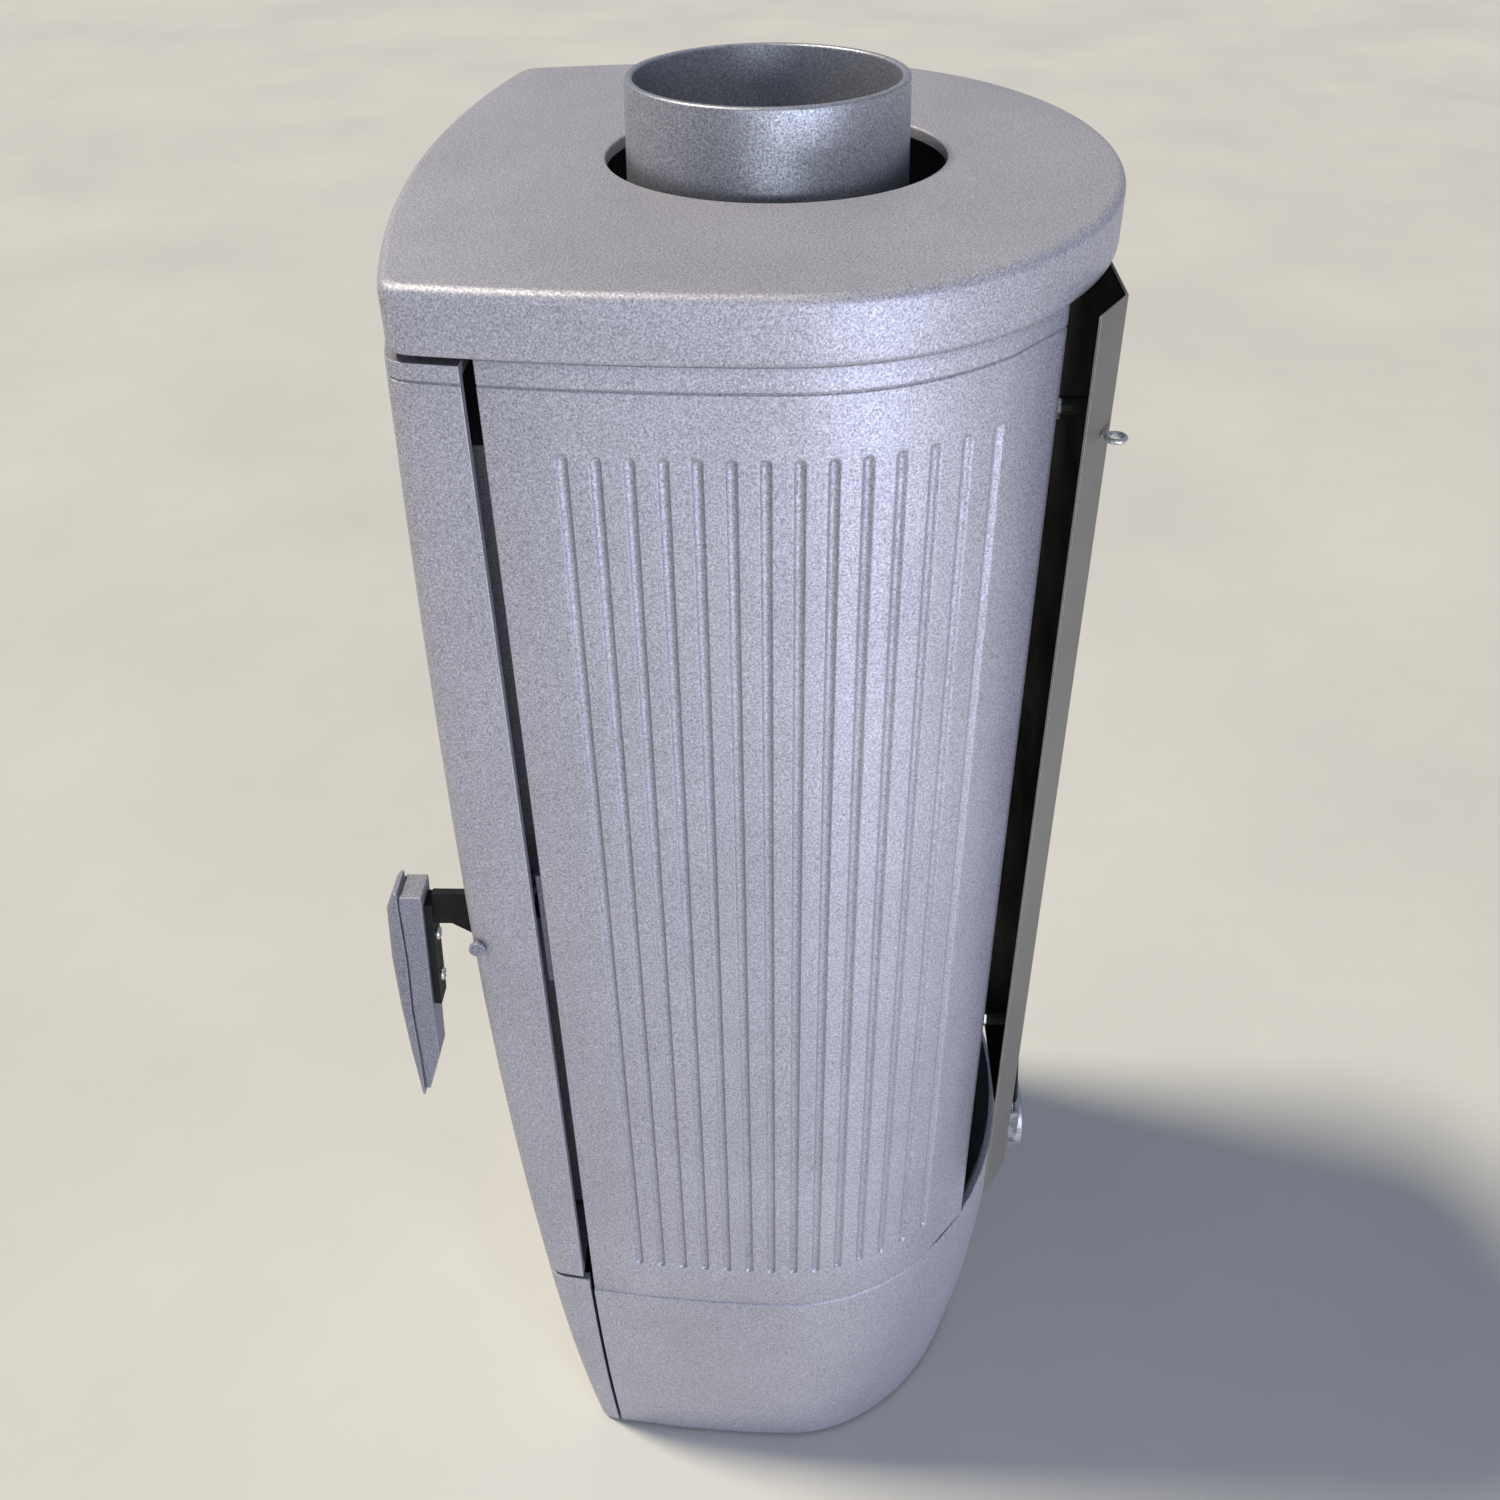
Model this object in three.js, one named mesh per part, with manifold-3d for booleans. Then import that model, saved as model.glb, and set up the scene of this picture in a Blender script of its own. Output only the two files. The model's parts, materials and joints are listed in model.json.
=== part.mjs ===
// Cast iron wood stove: a tall hull of grey cast panels round an inner fire chamber.
// Millimetres. +Z is up, the door faces -Y and +X is to the right of someone facing the door.
// The working centre is close to the flue. The finished group is moved along Y so that the
// middle of the stove's footprint lies on the origin, on the floor.

import * as THREE from 'three';
import Module from 'manifold-3d';
import { mergeVertices } from 'three/addons/utils/BufferGeometryUtils.js';

const wasm = await Module();
wasm.setup();

// Clearances
const seatGap = 0.3; // between pieces that rest on or pass through each other
const overrun = 6; // how far a cutter runs past the face that it cuts

// Hull outline seen from above, at the top plate's skirt
const halfWidth = 242;
const widestY = 17; // the widest line lies this far behind the working centre
const backDepth = 191; // from the widest line to the rear
const hullRearY = widestY + backDepth;
const sideSweep = 520; // long semi-axis of the side curve in front of the widest line
const frontReach = 203; // from the working centre to the middle of the front arc
const frontRadius = 960;
const cornerRadius = 10;
const cornerLimitShare = 0.8; // of the wall behind a corner, which its rounding may use up

// Hull heights above the floor
const plateTopZ = 1040;
const plateSkirtHeight = 35;
const plateBottomZ = plateTopZ - plateSkirtHeight;
const baseTopZ = 234;
const floorGap = 3; // the base skirt clears the floor and stands on its levelling feet

// Barrel shape of the front, and the taper of the base
const bulgeZ = 640; // height where the front stands out furthest
const bulgeReach = 9; // ahead of the plate's skirt
const topTuck = 7; // drawn back again at the top of the door
const floorTuck = 43; // drawn back at the floor
const sideTuck = 21; // sides and rear of the base drawn in at the floor

// Top plate
const plateWall = 7;
const plateEdgeRadius = 6;
const plateLipRadius = 3.5;
const flueHoleRadius = 100;
const flueHoleY = 8;

// Side panels
const panelInset = 4; // panels lie this far inside the plate's skirt
const panelWall = 5;
const panelFrontInset = 68.4; // behind the middle of the plate's front
const panelFrontY = panelFrontInset - frontReach;
const panelRearInset = 92; // inside the hull's widest line, where the panels end at the rear
const panelRearX = halfWidth - panelRearInset;
const grooveCount = 14;
const groovePitch = 17;
const grooveFrontGap = 39.1; // plain face in front of the first groove
const firstGrooveY = panelFrontY + grooveFrontGap;
const grooveRadius = 3.2;
const grooveDepth = 2.2;
const grooveTopDrop = 48; // below the plate's skirt
const grooveTopZ = plateBottomZ - grooveTopDrop;
const grooveBottomRise = 42; // above the base
const grooveBottomZ = baseTopZ + grooveBottomRise;
const bandDrop = 14; // the fine line below the plate's skirt
const bandGrooveHeight = 2;
const bandGrooveDepth = 1;

// Base
const baseWall = 9;
const baseProud = 1; // the base's top edge stands out from the panels above it
const baseChamfer = 1.5;
const baseSeamY = panelFrontY; // the side base's front edge lines up with the side panels
const baseSeamSlant = 5.6; // how far the seam leans back on its way to the floor
const baseSeamGap = 3;
const spigotDrop = 53; // its axis below the base's top edge
const spigotZ = baseTopZ - spigotDrop;
const spigotRadius = 30;

// Levelling feet
const footPadRadius = 16;
const footPadHeight = 9;
const footScrewRadius = 6;
const footScrewTopZ = 64;
const footLugRadius = 15;
const footLugZ = 30;
const footLugHeight = 14;
const footRearInsetX = 124; // inside the hull's widest line
const footRearInsetY = 90; // inside the hull's rear
const footFrontInsetX = 60;
const footFrontSetback = 30.6; // behind the side panels' front edges
const footRearX = halfWidth - footRearInsetX;
const footRearY = hullRearY - footRearInsetY;
const footFrontX = halfWidth - footFrontInsetX;
const footFrontY = panelFrontY + footFrontSetback;

// Hearth plate: floor of the fire chamber, on top of the base
const hearthInset = 9.5;
const hearthWall = 9;
const hearthFrontGap = 0.6; // behind the side panels' front edges
const hearthFrontY = panelFrontY + hearthFrontGap;
const grateWall = 12;
const grateRebate = 8;
const grateSlotWidth = 9;
const grateSlotPitch = 20;
const grateSlotCount = 9;
const grateRim = 16;
const grateCorner = 12;

// Fire chamber
const chamberSideGap = 70; // between the hull's widest line and the chamber
const chamberRearGap = 86; // between the hull's rear and the chamber
const chamberTopGap = 135; // between the plate's top and the chamber's lid
const chamberHalfWidth = halfWidth - chamberSideGap;
const chamberRearY = hullRearY - chamberRearGap;
const chamberTopZ = plateTopZ - chamberTopGap;
const chamberWall = 7;
const frontFrameSetback = 10.6; // behind the side panels' front edges
const frontFrameRearY = panelFrontY + frontFrameSetback;
const frontFrameWall = 8;
const frontFrameSideGap = 2.875; // inside the side panels
const fireOpeningSide = 32; // frame beside the opening, inside the chamber's width
const fireOpeningSill = 41; // above the base
const fireOpeningHead = 25; // below the chamber's top
const fireOpeningHalfWidth = chamberHalfWidth - fireOpeningSide;
const fireOpeningBottomZ = baseTopZ + fireOpeningSill;
const fireOpeningTopZ = chamberTopZ - fireOpeningHead;
const fireOpeningCorner = 30;
const grateSideGap = 67; // between the chamber's side and the grate
const grateFrontGap = 34; // behind the front frame
const grateRearGap = 42; // in front of the chamber's rear
const grateHalfWidth = chamberHalfWidth - grateSideGap;
const grateFrontY = frontFrameRearY + grateFrontGap;
const grateRearY = chamberRearY - grateRearGap;

// Liners, baffle and log guard
const linerWall = 24;
const baffleTopGap = 135; // between the liners' top and the chamber's
const linerTopZ = chamberTopZ - baffleTopGap;
const linerRibCount = 9;
const linerRibDepth = 5;
const linerRibStartShare = 0.25; // slope of a rib, as a share of the pitch
const baffleWall = 20;
const baffleFrontGap = 75;
const baffleRise = 36;
const guardHeight = 62;
const guardWall = 9;
const guardEndGap = 12; // inside the fire opening
const guardHalfWidth = fireOpeningHalfWidth - guardEndGap;
const guardToothCount = 6;
const guardToothWidth = 22;
const guardToothDepth = 26;

// Flue collar
const collarRise = 43; // above the top plate
const collarTopZ = plateTopZ + collarRise;
const collarY = 3;
const collarRimRadius = 82;
const collarFootRadius = 86;
const collarBore = 77;
const collarFlangeRadius = 96;
const collarFlangeHeight = 8;
const collarRimChamfer = 1.2;

// Rear panel and heat shield
const backPanelInset = 60; // inside the hull's rear
const backPanelY = hullRearY - backPanelInset;
const backPanelWall = 5;
const shieldInsetX = 102; // inside the hull's widest line
const shieldInsetY = 14; // inside the hull's rear
const shieldHalfWidth = halfWidth - shieldInsetX;
const shieldBackY = hullRearY - shieldInsetY;
const shieldWingReachX = 32;
const shieldWingReachY = 19;
const shieldWall = 1.5;
const shieldTopGap = 1; // below the plate's skirt
const shieldBottomRise = 56; // above the base
const shieldBottomZ = baseTopZ + shieldBottomRise;
const shieldSpacerRadius = 6;
const shieldSpacerInset = 8; // from the shield's flat edge
const shieldSpacerUpperDrop = 66; // below the plate's skirt
const shieldSpacerLowerRise = 161; // above the shield's lower edge
const shieldSpacerX = shieldHalfWidth - shieldSpacerInset;
const shieldSpacerUpperZ = plateBottomZ - shieldSpacerUpperDrop;
const shieldSpacerLowerZ = shieldBottomZ + shieldSpacerLowerRise;
const eyeDrop = 76; // below the plate's skirt
const eyeZ = plateBottomZ - eyeDrop;
const eyeRingRadius = 8;
const eyeWireRadius = 2.4;
const eyeShankLength = 4;
const eyeShare = 0.35; // place of the eye across the shield's wing

// Door
const doorWall = 7;
const doorGap = 7.7; // open joint between the door's side and the side panel
const doorTopGap = 4.5;
const doorBottomRise = 15; // above the base's side edge
const doorTopZ = plateBottomZ - doorTopGap;
const doorBottomZ = baseTopZ + doorBottomRise;
const doorBottomGap = 4;
const doorRearY = panelFrontY - doorGap;
const glassWall = 4;
const glassSideReach = 8; // beyond the fire opening
const glassBottomRise = 123; // above the door's lower edge
const glassTopDrop = 98.5; // below the door's upper edge
const glassHalfWidth = fireOpeningHalfWidth + glassSideReach;
const glassBottomZ = doorBottomZ + glassBottomRise;
const glassTopZ = doorTopZ - glassTopDrop;
const glassSeatWidth = 11;
const glassSeatInset = 37; // behind the middle of the plate's front
const glassSeatY = glassSeatInset - frontReach;
const windowSplay = 13;
const windowCorner = 16;
const tapeWall = 2;
const clipWidth = 26;
const clipWall = 2.5;
const clipFoot = 14;
const clipOverlap = 9;
const clipInset = 52; // from the glass's side edge to a clip's middle
const clipX = glassHalfWidth - clipInset;
const clipScrewRadius = 4;
const clipScrewHead = 2;
const ropeSize = 8;
const ropeSideReach = 12; // from the glass's side edge to the middle of the rope
const ropeTopRise = 28; // above the glass
const ropeBottomDrop = 13; // below the fire opening
const ropeHalfWidth = glassHalfWidth + ropeSideReach;
const ropeTopZ = glassTopZ + ropeTopRise;
const ropeBottomZ = fireOpeningBottomZ - ropeBottomDrop;

// Hinges, on the left of the door
const hingeInset = 32; // inside the hull's widest line
const hingeReach = 23.4; // in front of the side panels
const hingeX = hingeInset - halfWidth;
const hingeY = panelFrontY - hingeReach;
const hingePinRadius = 5;
const hingeKnuckleRadius = 9;
const hingeKnuckleHeight = 26;
const hingeLowerRise = 81; // above the door's lower edge
const hingeUpperDrop = 100.5; // below the door's upper edge
const hingeLowerZ = doorBottomZ + hingeLowerRise;
const hingeUpperZ = doorTopZ - hingeUpperDrop;
const hingeBracketWall = 6;
const hingeRunningGap = 0.5;
const hingePinHead = 3;
const hingeNotchReach = 19; // in front of the hinge, for the bracket when the door is wide open

// Handle and latch, on the right of the door
const handleInset = 58; // inside the hull's widest line
const pivotReach = 48.4; // in front of the side panels
const handleX = halfWidth - handleInset;
const pivotY = panelFrontY - pivotReach;
const pivotZ = 604;
const pivotRadius = 4;
const pivotProud = 2.5;
const pivotEyeRadius = 12;
const pivotLugWall = 7;
const pivotPlay = 1.2;
const pivotHeadRadius = 5.5;
const strapWall = 5;
const strapHeight = 27;
const strapTopRise = 16; // above the pivot
const strapTopZ = pivotZ + strapTopRise;
const strapTailWidth = 16;
const strapTailDrop = 83; // below the pivot
const strapTailBottomZ = pivotZ - strapTailDrop;
const gussetReach = 25; // in front of the pivot
const gussetDrop = 9;
const slotClearance = 4;
const slotRise = 8; // above the lever, for its swing
const gripWidth = 26;
const gripBevel = 7;
const gripRise = 46; // above the pivot
const gripDrop = 180; // below the pivot
const gripReach = 70; // in front of the pivot
const gripTopZ = pivotZ + gripRise;
const gripBottomZ = pivotZ - gripDrop;
const gripFrontY = pivotY - gripReach;
const gripDepth = 37.5;
const gripScrewRadius = 2.2;
const gripScrewHeadRadius = 4.4;
const gripScrewHead = 2.5;
const gripScrewDepth = 11; // into the grip
const gripScrewUpperDrop = 22; // below the pivot
const gripScrewLowerDrop = 61;
const gripScrewUpperZ = pivotZ - gripScrewUpperDrop;
const gripScrewLowerZ = pivotZ - gripScrewLowerDrop;
const hookArmHeight = 10;
const hookNoseDepth = 6;
const hookNoseHeight = 9;
const hookClear = 2; // the nose stands this far below the keeper's lip
const keeperWidth = 34;
const keeperLipWall = 4;
const keeperLipGap = 1.5; // in front of the nose
const keeperHeight = 92;
const keeperWall = 7.5;
const keeperRise = 61; // above the pivot
const keeperTopZ = pivotZ + keeperRise;
const hookGap = 3.7; // in front of the catch plate
const keeperMargin = 1; // inside the front frame's edge

// Ash drawer, behind the front of the base
const drawerSideGap = 110; // inside the hull's widest line
const drawerHalfWidth = halfWidth - drawerSideGap;
const drawerHeight = 118;
const drawerDepth = 172;
const drawerWall = 2;
const drawerTopGap = 24; // below the base's top edge
const drawerBottomZ = baseTopZ - drawerTopGap - drawerHeight;
const railSetback = 6.6; // behind the side panels' front edges
const railFrontY = panelFrontY + railSetback;
const railWall = 3;
const railLedge = 14;
const baseFrontWall = 8;

// Outside air inlet
const airBoxHalfWidth = 54;
const airBoxDepth = 62;
const airBoxRearInset = 84; // inside the hull's rear
const airBoxDrop = 45; // below the inlet's axis
const airBoxRearY = hullRearY - airBoxRearInset;
const airBoxFrontY = airBoxRearY - airBoxDepth;
const airBoxBottomZ = spigotZ - airBoxDrop;
const airBoxWall = 2;
const spigotWall = 1.6;
const spigotReach = 23; // behind the hull's rear
const spigotEndY = hullRearY + spigotReach;
const spigotFlangeRadius = 40;
const spigotFlangeWall = 2.5;
const gateSetback = 9; // inside the tube's end
const gateY = spigotEndY - gateSetback;
const gateWall = 2;
const gateRadius = 27;
const gateTipWidth = 8;
const gateRise = 100; // above the inlet's axis
const gateTopZ = spigotZ + gateRise;
const gateCheekWall = 3;
const gateCheekRise = 4;

// How finely curves are divided
const frontSteps = 8;
const cornerSteps = 3;
const sideSteps = 16;
const wrapSideSteps = 2;
const edgeSteps = 3;
const bisectionSteps = 40;
const roundSegments = 40;
const pinSegments = 16;
const gateSegments = 12;
const smallSegments = 12;
const grooveSegments = 10;
const grooveCapSegments = 3;
const doorRowCount = 11;
const baseRowCount = 8;

// Finishes
const finish = (color, roughness, metalness) => (
  new THREE.MeshStandardMaterial({ color, roughness, metalness })
);
const greyPaint = finish(0x8a8b93, 0.55, 0.45);
const blackPaint = finish(0x17181a, 0.6, 0.2);
const darkIron = finish(0x2b2b2d, 0.75, 0.5);
const paleSteel = finish(0xb9bcbf, 0.35, 0.9);
const ceramicGlass = finish(0x26221c, 0.08, 0.0);
const ropeWhite = finish(0xc9c6bb, 0.95, 0.0);
const linerClay = finish(0xb59a78, 0.9, 0.0);

// Closed meshes and booleans

// Turns a mesh so that its faces point out.
function facingOut(geometry) {
  const spots = geometry.getAttribute('position');
  const order = geometry.getIndex().array;
  const corners = [new THREE.Vector3(), new THREE.Vector3(), new THREE.Vector3()];
  let volume = 0;
  for (let face = 0; face < order.length; face += 3) {
    corners.forEach((corner, place) => corner.fromBufferAttribute(spots, order[face + place]));
    volume += corners[0].dot(corners[1].cross(corners[2]));
  }
  if (volume < 0) {
    for (let face = 0; face < order.length; face += 3) {
      [order[face], order[face + 1]] = [order[face + 1], order[face]];
    }
  }
  return geometry;
}

// Leaves only shared positions and true triangles.
function merged(geometry) {
  const bare = new THREE.BufferGeometry();
  bare.setAttribute('position', geometry.getAttribute('position').clone());
  if (geometry.getIndex()) bare.setIndex(geometry.getIndex().clone());
  const joined = mergeVertices(bare);
  const order = joined.getIndex().array;
  const kept = [];
  for (let face = 0; face < order.length; face += 3) {
    const [a, b, c] = order.slice(face, face + 3);
    if (a !== b && b !== c && c !== a) kept.push(a, b, c);
  }
  joined.setIndex(kept);
  return facingOut(joined);
}

function toSolid(geometry) {
  const clean = merged(geometry);
  return new wasm.Manifold(new wasm.Mesh({
    numProp: 3,
    vertProperties: new Float32Array(clean.getAttribute('position').array),
    triVerts: new Uint32Array(clean.getIndex().array),
  }));
}

function toGeometry(solid) {
  const mesh = solid.getMesh();
  const geometry = new THREE.BufferGeometry();
  geometry.setAttribute('position', new THREE.BufferAttribute(new Float32Array(mesh.vertProperties), 3));
  geometry.setIndex(new THREE.BufferAttribute(new Uint32Array(mesh.triVerts), 1));
  return geometry;
}

function cut(geometry, ...cutters) {
  return toGeometry(cutters.reduce((solid, cutter) => solid.subtract(toSolid(cutter)), toSolid(geometry)));
}

function join(geometry, ...others) {
  return toGeometry(others.reduce((solid, other) => solid.add(toSolid(other)), toSolid(geometry)));
}

function common(geometry, other) {
  return toGeometry(toSolid(geometry).intersect(toSolid(other)));
}

// Adds the triangles of a grid of points, one row after another.
function addGrid(indices, firstRow, rowLength, rowCount, closed) {
  const across = closed ? rowLength : rowLength - 1;
  for (let row = 0; row < rowCount - 1; row++) {
    for (let place = 0; place < across; place++) {
      const next = (place + 1) % rowLength;
      const low = firstRow + row * rowLength;
      const high = low + rowLength;
      indices.push(low + place, low + next, high + next);
      indices.push(low + place, high + next, high + place);
    }
  }
}

function fromRows(rows, indices) {
  const geometry = new THREE.BufferGeometry();
  geometry.setAttribute('position', new THREE.Float32BufferAttribute(rows.flat(2), 3));
  geometry.setIndex(indices);
  return merged(geometry);
}

// A solid through closed loops of equally many points, with flat ends.
function loftSolid(loops) {
  const length = loops[0].length;
  const indices = [];
  addGrid(indices, 0, length, loops.length, true);
  const last = (loops.length - 1) * length;
  for (let place = 1; place < length - 1; place++) {
    indices.push(0, place + 1, place);
    indices.push(last, last + place, last + place + 1);
  }
  return fromRows(loops, indices);
}

// A wall between two open sheets: each row runs out along one sheet and back along the other.
function wallSolid(outerRows, innerRows) {
  const loops = outerRows.map((row, place) => [...row, ...innerRows[place].slice().reverse()]);
  const length = loops[0].length;
  const indices = [];
  addGrid(indices, 0, length, loops.length, true);
  const last = (loops.length - 1) * length;
  for (let outer = 0; outer < length / 2 - 1; outer++) {
    const inner = length - 1 - outer;
    indices.push(outer + 1, outer, inner, outer + 1, inner, inner - 1);
    indices.push(last + outer, last + outer + 1, last + inner);
    indices.push(last + outer + 1, last + inner - 1, last + inner);
  }
  return fromRows(loops, indices);
}

// A block between two places along each axis.
function spanOf(x0, x1, y0, y1, z0, z1) {
  const block = new THREE.BoxGeometry(x1 - x0, y1 - y0, z1 - z0);
  return block.translate((x0 + x1) / 2, (y0 + y1) / 2, (z0 + z1) / 2);
}

// Round rods along Z, Y or X, given their two ends and the place of their axis

function rodZ(radius, z0, z1, x, y, segments = pinSegments) {
  const rod = new THREE.CylinderGeometry(radius, radius, z1 - z0, segments);
  return rod.rotateX(Math.PI / 2).translate(x, y, (z0 + z1) / 2);
}

function rodY(radius, y0, y1, x, z, segments = pinSegments) {
  return new THREE.CylinderGeometry(radius, radius, y1 - y0, segments).translate(x, (y0 + y1) / 2, z);
}

function rodX(radius, x0, x1, y, z, segments = pinSegments) {
  const rod = new THREE.CylinderGeometry(radius, radius, x1 - x0, segments);
  return rod.rotateZ(Math.PI / 2).translate((x0 + x1) / 2, y, z);
}

// A solid of revolution about an upright axis, from a closed profile of radius and height.
function turned(profile, segments = roundSegments) {
  const closedProfile = [...profile, profile[0]].map(([radius, z]) => new THREE.Vector2(radius, z));
  return new THREE.LatheGeometry(closedProfile, segments).rotateX(Math.PI / 2);
}

function roundedRectangle(x0, x1, z0, z1, radius) {
  const shape = new THREE.Shape();
  shape.moveTo(x0 + radius, z0);
  shape.lineTo(x1 - radius, z0);
  shape.absarc(x1 - radius, z0 + radius, radius, -Math.PI / 2, 0);
  shape.lineTo(x1, z1 - radius);
  shape.absarc(x1 - radius, z1 - radius, radius, 0, Math.PI / 2);
  shape.lineTo(x0 + radius, z1);
  shape.absarc(x0 + radius, z1 - radius, radius, Math.PI / 2, Math.PI);
  shape.lineTo(x0, z0 + radius);
  shape.absarc(x0 + radius, z0 + radius, radius, Math.PI, Math.PI * 3 / 2);
  return shape;
}

// A flat outline in X and Z, given depth along Y from y0 back to y1.
function uprightPlate(shape, y0, y1) {
  const options = { depth: y1 - y0, bevelEnabled: false, curveSegments: edgeSteps };
  const plate = new THREE.ExtrudeGeometry(shape, options);
  return plate.rotateX(Math.PI / 2).translate(0, y1, 0);
}

// A flat outline in X and Y, given height from z0 up to z1.
function flatPlate(shape, z0, z1) {
  const options = { depth: z1 - z0, bevelEnabled: false, curveSegments: edgeSteps };
  return new THREE.ExtrudeGeometry(shape, options).translate(0, 0, z0);
}

function shapeOf(points) {
  return new THREE.Shape(points.map(([x, y]) => new THREE.Vector2(x, y)));
}

// A flat outline in Y and Z, given width along X from x0 to x1.
function sidePlate(points, x0, x1) {
  const options = { depth: x1 - x0, bevelEnabled: false };
  const plate = new THREE.ExtrudeGeometry(shapeOf(points), options);
  return plate.rotateZ(Math.PI / 2).rotateY(Math.PI / 2).translate(x0, 0, 0);
}

// Hull outline

// A point on the side curve: half an ellipse behind the widest line, a longer one in front of it.
function sidePoint(angle, inset) {
  const depth = angle < 0 ? sideSweep : backDepth;
  return [(halfWidth - inset) * Math.cos(angle), widestY + (depth - inset) * Math.sin(angle)];
}

function sideAngleAtY(y, inset) {
  return Math.asin((y - widestY) / (sideSweep - inset));
}

function rearAngleAtX(x, inset) {
  return Math.acos(x / (halfWidth - inset));
}

function frontYAt(x, inset) {
  return inset - frontReach + frontRadius - Math.sqrt(frontRadius ** 2 - x ** 2);
}

// Where the front arc meets the side curve, as an angle on the side curve.
function cornerAngle(sideInset, frontInset) {
  let front = -Math.PI / 2;
  let rear = 0;
  for (let step = 0; step < bisectionSteps; step++) {
    const middle = (front + rear) / 2;
    const [x, y] = sidePoint(middle, sideInset);
    if (y > frontYAt(x, frontInset)) rear = middle;
    else front = middle;
  }
  return (front + rear) / 2;
}

const between = (from, to, share) => from + (to - from) * share;

function sideRun(fromAngle, toAngle, inset, steps) {
  return Array.from({ length: steps + 1 }, (_, step) => (
    sidePoint(between(fromAngle, toAngle, step / steps), inset)
  ));
}

// The right half of the outline, from the middle of the front round to an angle on the side.
function halfOutline(sideInset, frontInset, endAngle, steps) {
  const [cornerX, cornerY] = sidePoint(cornerAngle(sideInset, frontInset), sideInset);
  const [, endY] = sidePoint(endAngle, sideInset);
  const radius = Math.min(cornerRadius, (endY - cornerY) * cornerLimitShare);
  const frontEndX = cornerX - radius;
  const front = Array.from({ length: frontSteps + 1 }, (_, step) => {
    const x = frontEndX * step / frontSteps;
    return [x, frontYAt(x, frontInset)];
  });
  const sideStart = sideAngleAtY(cornerY + radius, sideInset);
  const curve = new THREE.QuadraticBezierCurve(
    new THREE.Vector2(...front[frontSteps]),
    new THREE.Vector2(cornerX, cornerY),
    new THREE.Vector2(...sidePoint(sideStart, sideInset)),
  );
  const corner = curve.getPoints(cornerSteps).slice(1, -1).map((point) => [point.x, point.y]);
  return [...front, ...corner, ...sideRun(sideStart, endAngle, sideInset, steps)];
}

const mirrorPoints = (points) => points.map(([x, y]) => [-x, y]).reverse();
const atHeight = (points, z) => points.map(([x, y]) => [x, y, z]);

// The whole outline as a closed loop.
function hullLoop(sideInset, frontInset) {
  const half = halfOutline(sideInset, frontInset, Math.PI / 2, sideSteps);
  return [...half.slice(0, -1), ...mirrorPoints(half).slice(0, -1)];
}

// The front and both corners, as an open row from the left side to the right.
function frontWrap(sideInset, frontInset, rearY) {
  const half = halfOutline(sideInset, frontInset, sideAngleAtY(rearY, sideInset), wrapSideSteps);
  return [...mirrorPoints(half).slice(0, -1), ...half];
}

// The sides and rear, as an open row from one front edge round the back to the other.
function rearWrap(inset, frontY) {
  const half = sideRun(sideAngleAtY(frontY, inset), Math.PI / 2, inset, sideSteps);
  return [...half.slice(0, -1), ...mirrorPoints(half)];
}

// How far the front lies inside the plate's skirt at a height, less than zero where it stands out.
function frontInsetAt(z) {
  const upperHeight = plateTopZ - plateSkirtHeight - bulgeZ;
  const upperShare = Math.max(z - bulgeZ, 0) / upperHeight;
  const lowerShare = Math.max(bulgeZ - z, 0) / bulgeZ;
  return topTuck * upperShare ** 2 + floorTuck * lowerShare ** 2 - bulgeReach;
}

function sideInsetAt(z) {
  const taper = sideTuck * (Math.max(baseTopZ - z, 0) / baseTopZ) ** 2;
  return panelInset + taper;
}

const heightsBetween = (low, high, count) => (
  Array.from({ length: count }, (_, place) => between(low, high, place / (count - 1)))
);

// Corners of the bevelled or rounded edge of a wall: an inset and a height for each step.
function roundedEdge(radius, z, upward) {
  return Array.from({ length: edgeSteps + 1 }, (_, step) => {
    const turn = Math.PI / 2 * step / edgeSteps;
    return [radius * (1 - Math.cos(turn)), z + upward * radius * (Math.sin(turn) - 1)];
  });
}

// Casing

function topPlate() {
  const edges = [
    ...roundedEdge(plateLipRadius, plateBottomZ, -1).reverse(),
    ...roundedEdge(plateEdgeRadius, plateTopZ, 1),
  ];
  const dome = loftSolid(edges.map(([inset, z]) => atHeight(hullLoop(inset, inset), z)));
  const cavityOutline = hullLoop(plateWall, plateWall);
  const cavity = loftSolid([
    atHeight(cavityOutline, plateBottomZ - overrun),
    atHeight(cavityOutline, plateTopZ - plateWall),
  ]);
  const flueHole = rodZ(flueHoleRadius, plateBottomZ, plateTopZ + overrun, 0, flueHoleY, roundSegments);
  return cut(dome, cavity, flueHole);
}

const panelTopZ = plateBottomZ - seatGap;
const coverUndersideZ = plateTopZ - plateWall - seatGap;
const panelBottomZ = baseTopZ + seatGap;
const bandZ = plateBottomZ - bandDrop;

// Heights and extra insets of a wall that carries the fine line below the plate.
function bandLevels(bottomLevels, topZ) {
  return [
    ...bottomLevels.map((z) => [z, 0]),
    [bandZ - bandGrooveHeight / 2, 0],
    [bandZ, bandGrooveDepth],
    [bandZ + bandGrooveHeight / 2, 0],
    [topZ, 0],
  ];
}

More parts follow.
